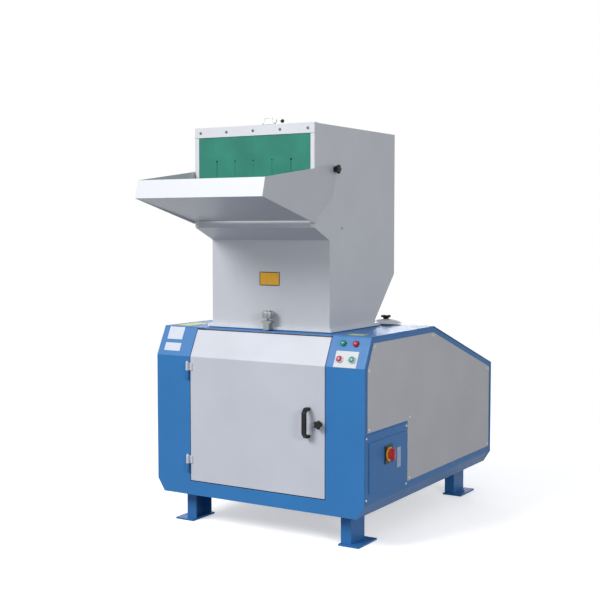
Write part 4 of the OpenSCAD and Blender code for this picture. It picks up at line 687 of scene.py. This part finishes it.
def curtain():
    """The sheet with its slits, which end in round holes and are wider next to the posts."""
    o = placed("curtain_flaps", thick_sheet())
    o.data.materials.append(MAT["curtain_green"])
    cutters = []
    for k in range(1, FLAPS):
        x = -CURTAIN_HALF + 2 * CURTAIN_HALF * k / FLAPS
        half, hole_r = OUTER_SLIT if k in (1, FLAPS - 1) else INNER_SLIT
        low = CURTAIN_LOW - 5
        slit = [(x - half, low), (x + half, low), (x + half, SLIT_TOP), (x - half, SLIT_TOP)]
        cutters.append(slab(to_front(0, 0, 0), slit, -8, 16))
        cutters.append(lathe(to_front(x, 0, SLIT_TOP), [(hole_r, -8), (hole_r, 16)], 24))
    cut_away(o, *merge(cutters))
    hang(o.data)
    smooth_by(o, 40)
    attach(o, "hopper")
    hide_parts("curtain")


curtain()

# Wire latch on the mouth: a bail and a rod of bent wire, with a moulded ball on the rod's end
LATCH_Y, LATCH_Z = 22, 1764.5
BALL_R, BALL_TILT = 8, math.radians(-23)


def wire(places, r, wire_r):
    """A bent wire along places of [across, height over the latch's axis]."""
    return tube(bent([(x, LATCH_Y, LATCH_Z + up) for x, up in places], r), wire_r)


loop = wire([(38, 0), (38, 24.2), (78, 24.2), (78, 0)], 5, 1.8)
rod = wire([(26, 0), (92, 0), (100, 20), (126, 9)], 4, 2.0)
smooth_by(piece("latch_wire", *merge([loop, rod]), "latch", "zinc", stands_for=("latch_bail",)), 50)
ball = [(2.6, -9)] + [(BALL_R * math.cos(t), BALL_R * math.sin(t))
                      for t in (math.radians(a) for a in range(-70, 90, 10))] + [(0.6, BALL_R)]
ball_axes = Axes((126, LATCH_Y, LATCH_Z + 9), (0, 1, 0), (math.sin(BALL_TILT), 0, math.cos(BALL_TILT)))
smooth_by(piece("latch_ball", *lathe(ball_axes, ball, 32), "latch", "knob_black"), 50)

# Clamp screw: fluted knob and threaded rod
CLAMP_LOW, CLAMP_KNOB_LOW, CLAMP_TURNS, CLAMP_PITCH = 887, 939, 30, 1.75
THREAD = [(5.1, 0), (5.95, 0.45), (5.95, 0.75), (5.1, 1.2)]
CLAMP_KNOB = [(11, 0), (18.2, 0.4), (23.6, 2.2), (24.9, 5), (25, 26), (24.2, 29.5), (21.6, 31.6),
              (14, 32.6), (9, 32.4), (8.6, 31.2), (3, 31.0)]


def hollow(angle, k):
    """Six hollows down the knob's side."""
    return 1 - 0.13 * max(0, math.cos(6 * angle)) ** 3 if 1 < k < 8 else 1


rod = lathe(to_top(*CLAMP, CLAMP_LOW),
            [(r, i * CLAMP_PITCH + h) for i in range(CLAMP_TURNS) for r, h in THREAD], 28)
knob = lathe(to_top(*CLAMP, CLAMP_KNOB_LOW), CLAMP_KNOB, 96, hollow)
smooth_by(piece("clamp_knob", *merge([rod, knob]), "clamp_screw", "zinc", mat="dull_steel",
                stands_for=("clamp_screw",)), 40)


# Floor and light

def shown_ray(nt):
    """1 for the rays that show the background: the camera's, and those in metal, gloss and glass."""
    path = shade(nt, "LightPath").outputs
    value = path["Is Camera Ray"]
    for ray in ("Is Glossy Ray", "Is Transmission Ray"):
        value = shade(nt, "Math", {0: value, 1: path[ray]}, operation="MAXIMUM").outputs[0]
    return value


def mixed(nt, share, first, second):
    """A mix of two shader nodes."""
    return shade(nt, "MixShader", {0: share, 1: first.outputs[0], 2: second.outputs[0]})


FLOOR_HALF = 14
FADE_FROM, FADE_TO = 1.3, 3.2
floor_mesh = bpy.data.meshes.new("floor")
floor_mesh.from_pydata([(-FLOOR_HALF, -FLOOR_HALF, 0), (FLOOR_HALF, -FLOOR_HALF, 0),
                        (FLOOR_HALF, FLOOR_HALF, 0), (-FLOOR_HALF, FLOOR_HALF, 0)], [], [(0, 1, 2, 3)])
floor = placed("floor", floor_mesh)
floor_paint = bpy.data.materials.new("floor")
floor_paint.use_nodes = True
nt = floor_paint.node_tree
nt.nodes.clear()
pale = shade(nt, "BsdfDiffuse", {0: (0.93, 0.93, 0.93, 1)})
glow = shade(nt, "Emission", {"Strength": 0.5})
near = shade(nt, "AddShader", {0: pale.outputs[0], 1: glow.outputs[0]})
# the floor runs out to plain white away from the machine, seen from the camera
spot = shade(nt, "NewGeometry").outputs["Position"]
far = shade(nt, "VectorMath", {0: spot}, operation="LENGTH").outputs["Value"]
fade = shade(nt, "MapRange", {"Value": far, "From Min": FADE_FROM, "From Max": FADE_TO},
             interpolation_type="SMOOTHSTEP").outputs["Result"]
seen = mixed(nt, fade, near, shade(nt, "Emission"))
# what the object gets back from the floor, a dull grey, as under a machine on a workshop floor
dull = shade(nt, "BsdfDiffuse", {0: (0.24, 0.25, 0.28, 1)})
shade(nt, "OutputMaterial", {0: mixed(nt, shown_ray(nt), dull, seen).outputs[0]})
floor_mesh.materials.append(floor_paint)

world = bpy.data.worlds.new("studio")
bpy.context.scene.world = world
world.use_nodes = True
nt = world.node_tree
nt.nodes.clear()
soft = shade(nt, "Background", {0: (0.95, 0.97, 1, 1), 1: 0.42})
white = shade(nt, "Background", {0: (1, 1, 1, 1), 1: 1})
shade(nt, "OutputWorld", {0: mixed(nt, shown_ray(nt), soft, white).outputs[0]})

LIGHT_AIM = Vector((0, 0, 0.9))


def area(name, place, size, watts):
    """A round lamp aimed at the machine's middle."""
    lamp = bpy.data.lights.new(name, "AREA")
    lamp.shape = "DISK"
    lamp.size = size
    lamp.energy = watts
    o = placed(name, lamp)
    o.location = place
    o.rotation_euler = (LIGHT_AIM - Vector(place)).to_track_quat("-Z", "Y").to_euler()


area("key", (-5.2, -10.5, 9.1), 6.4, 1400)
area("fill", (5.2, -3.6, 2.4), 1.6, 95)
area("rear", (-3.2, 5.6, 1.9), 2.4, 110)

bpy.context.scene.view_settings.view_transform = "Standard"
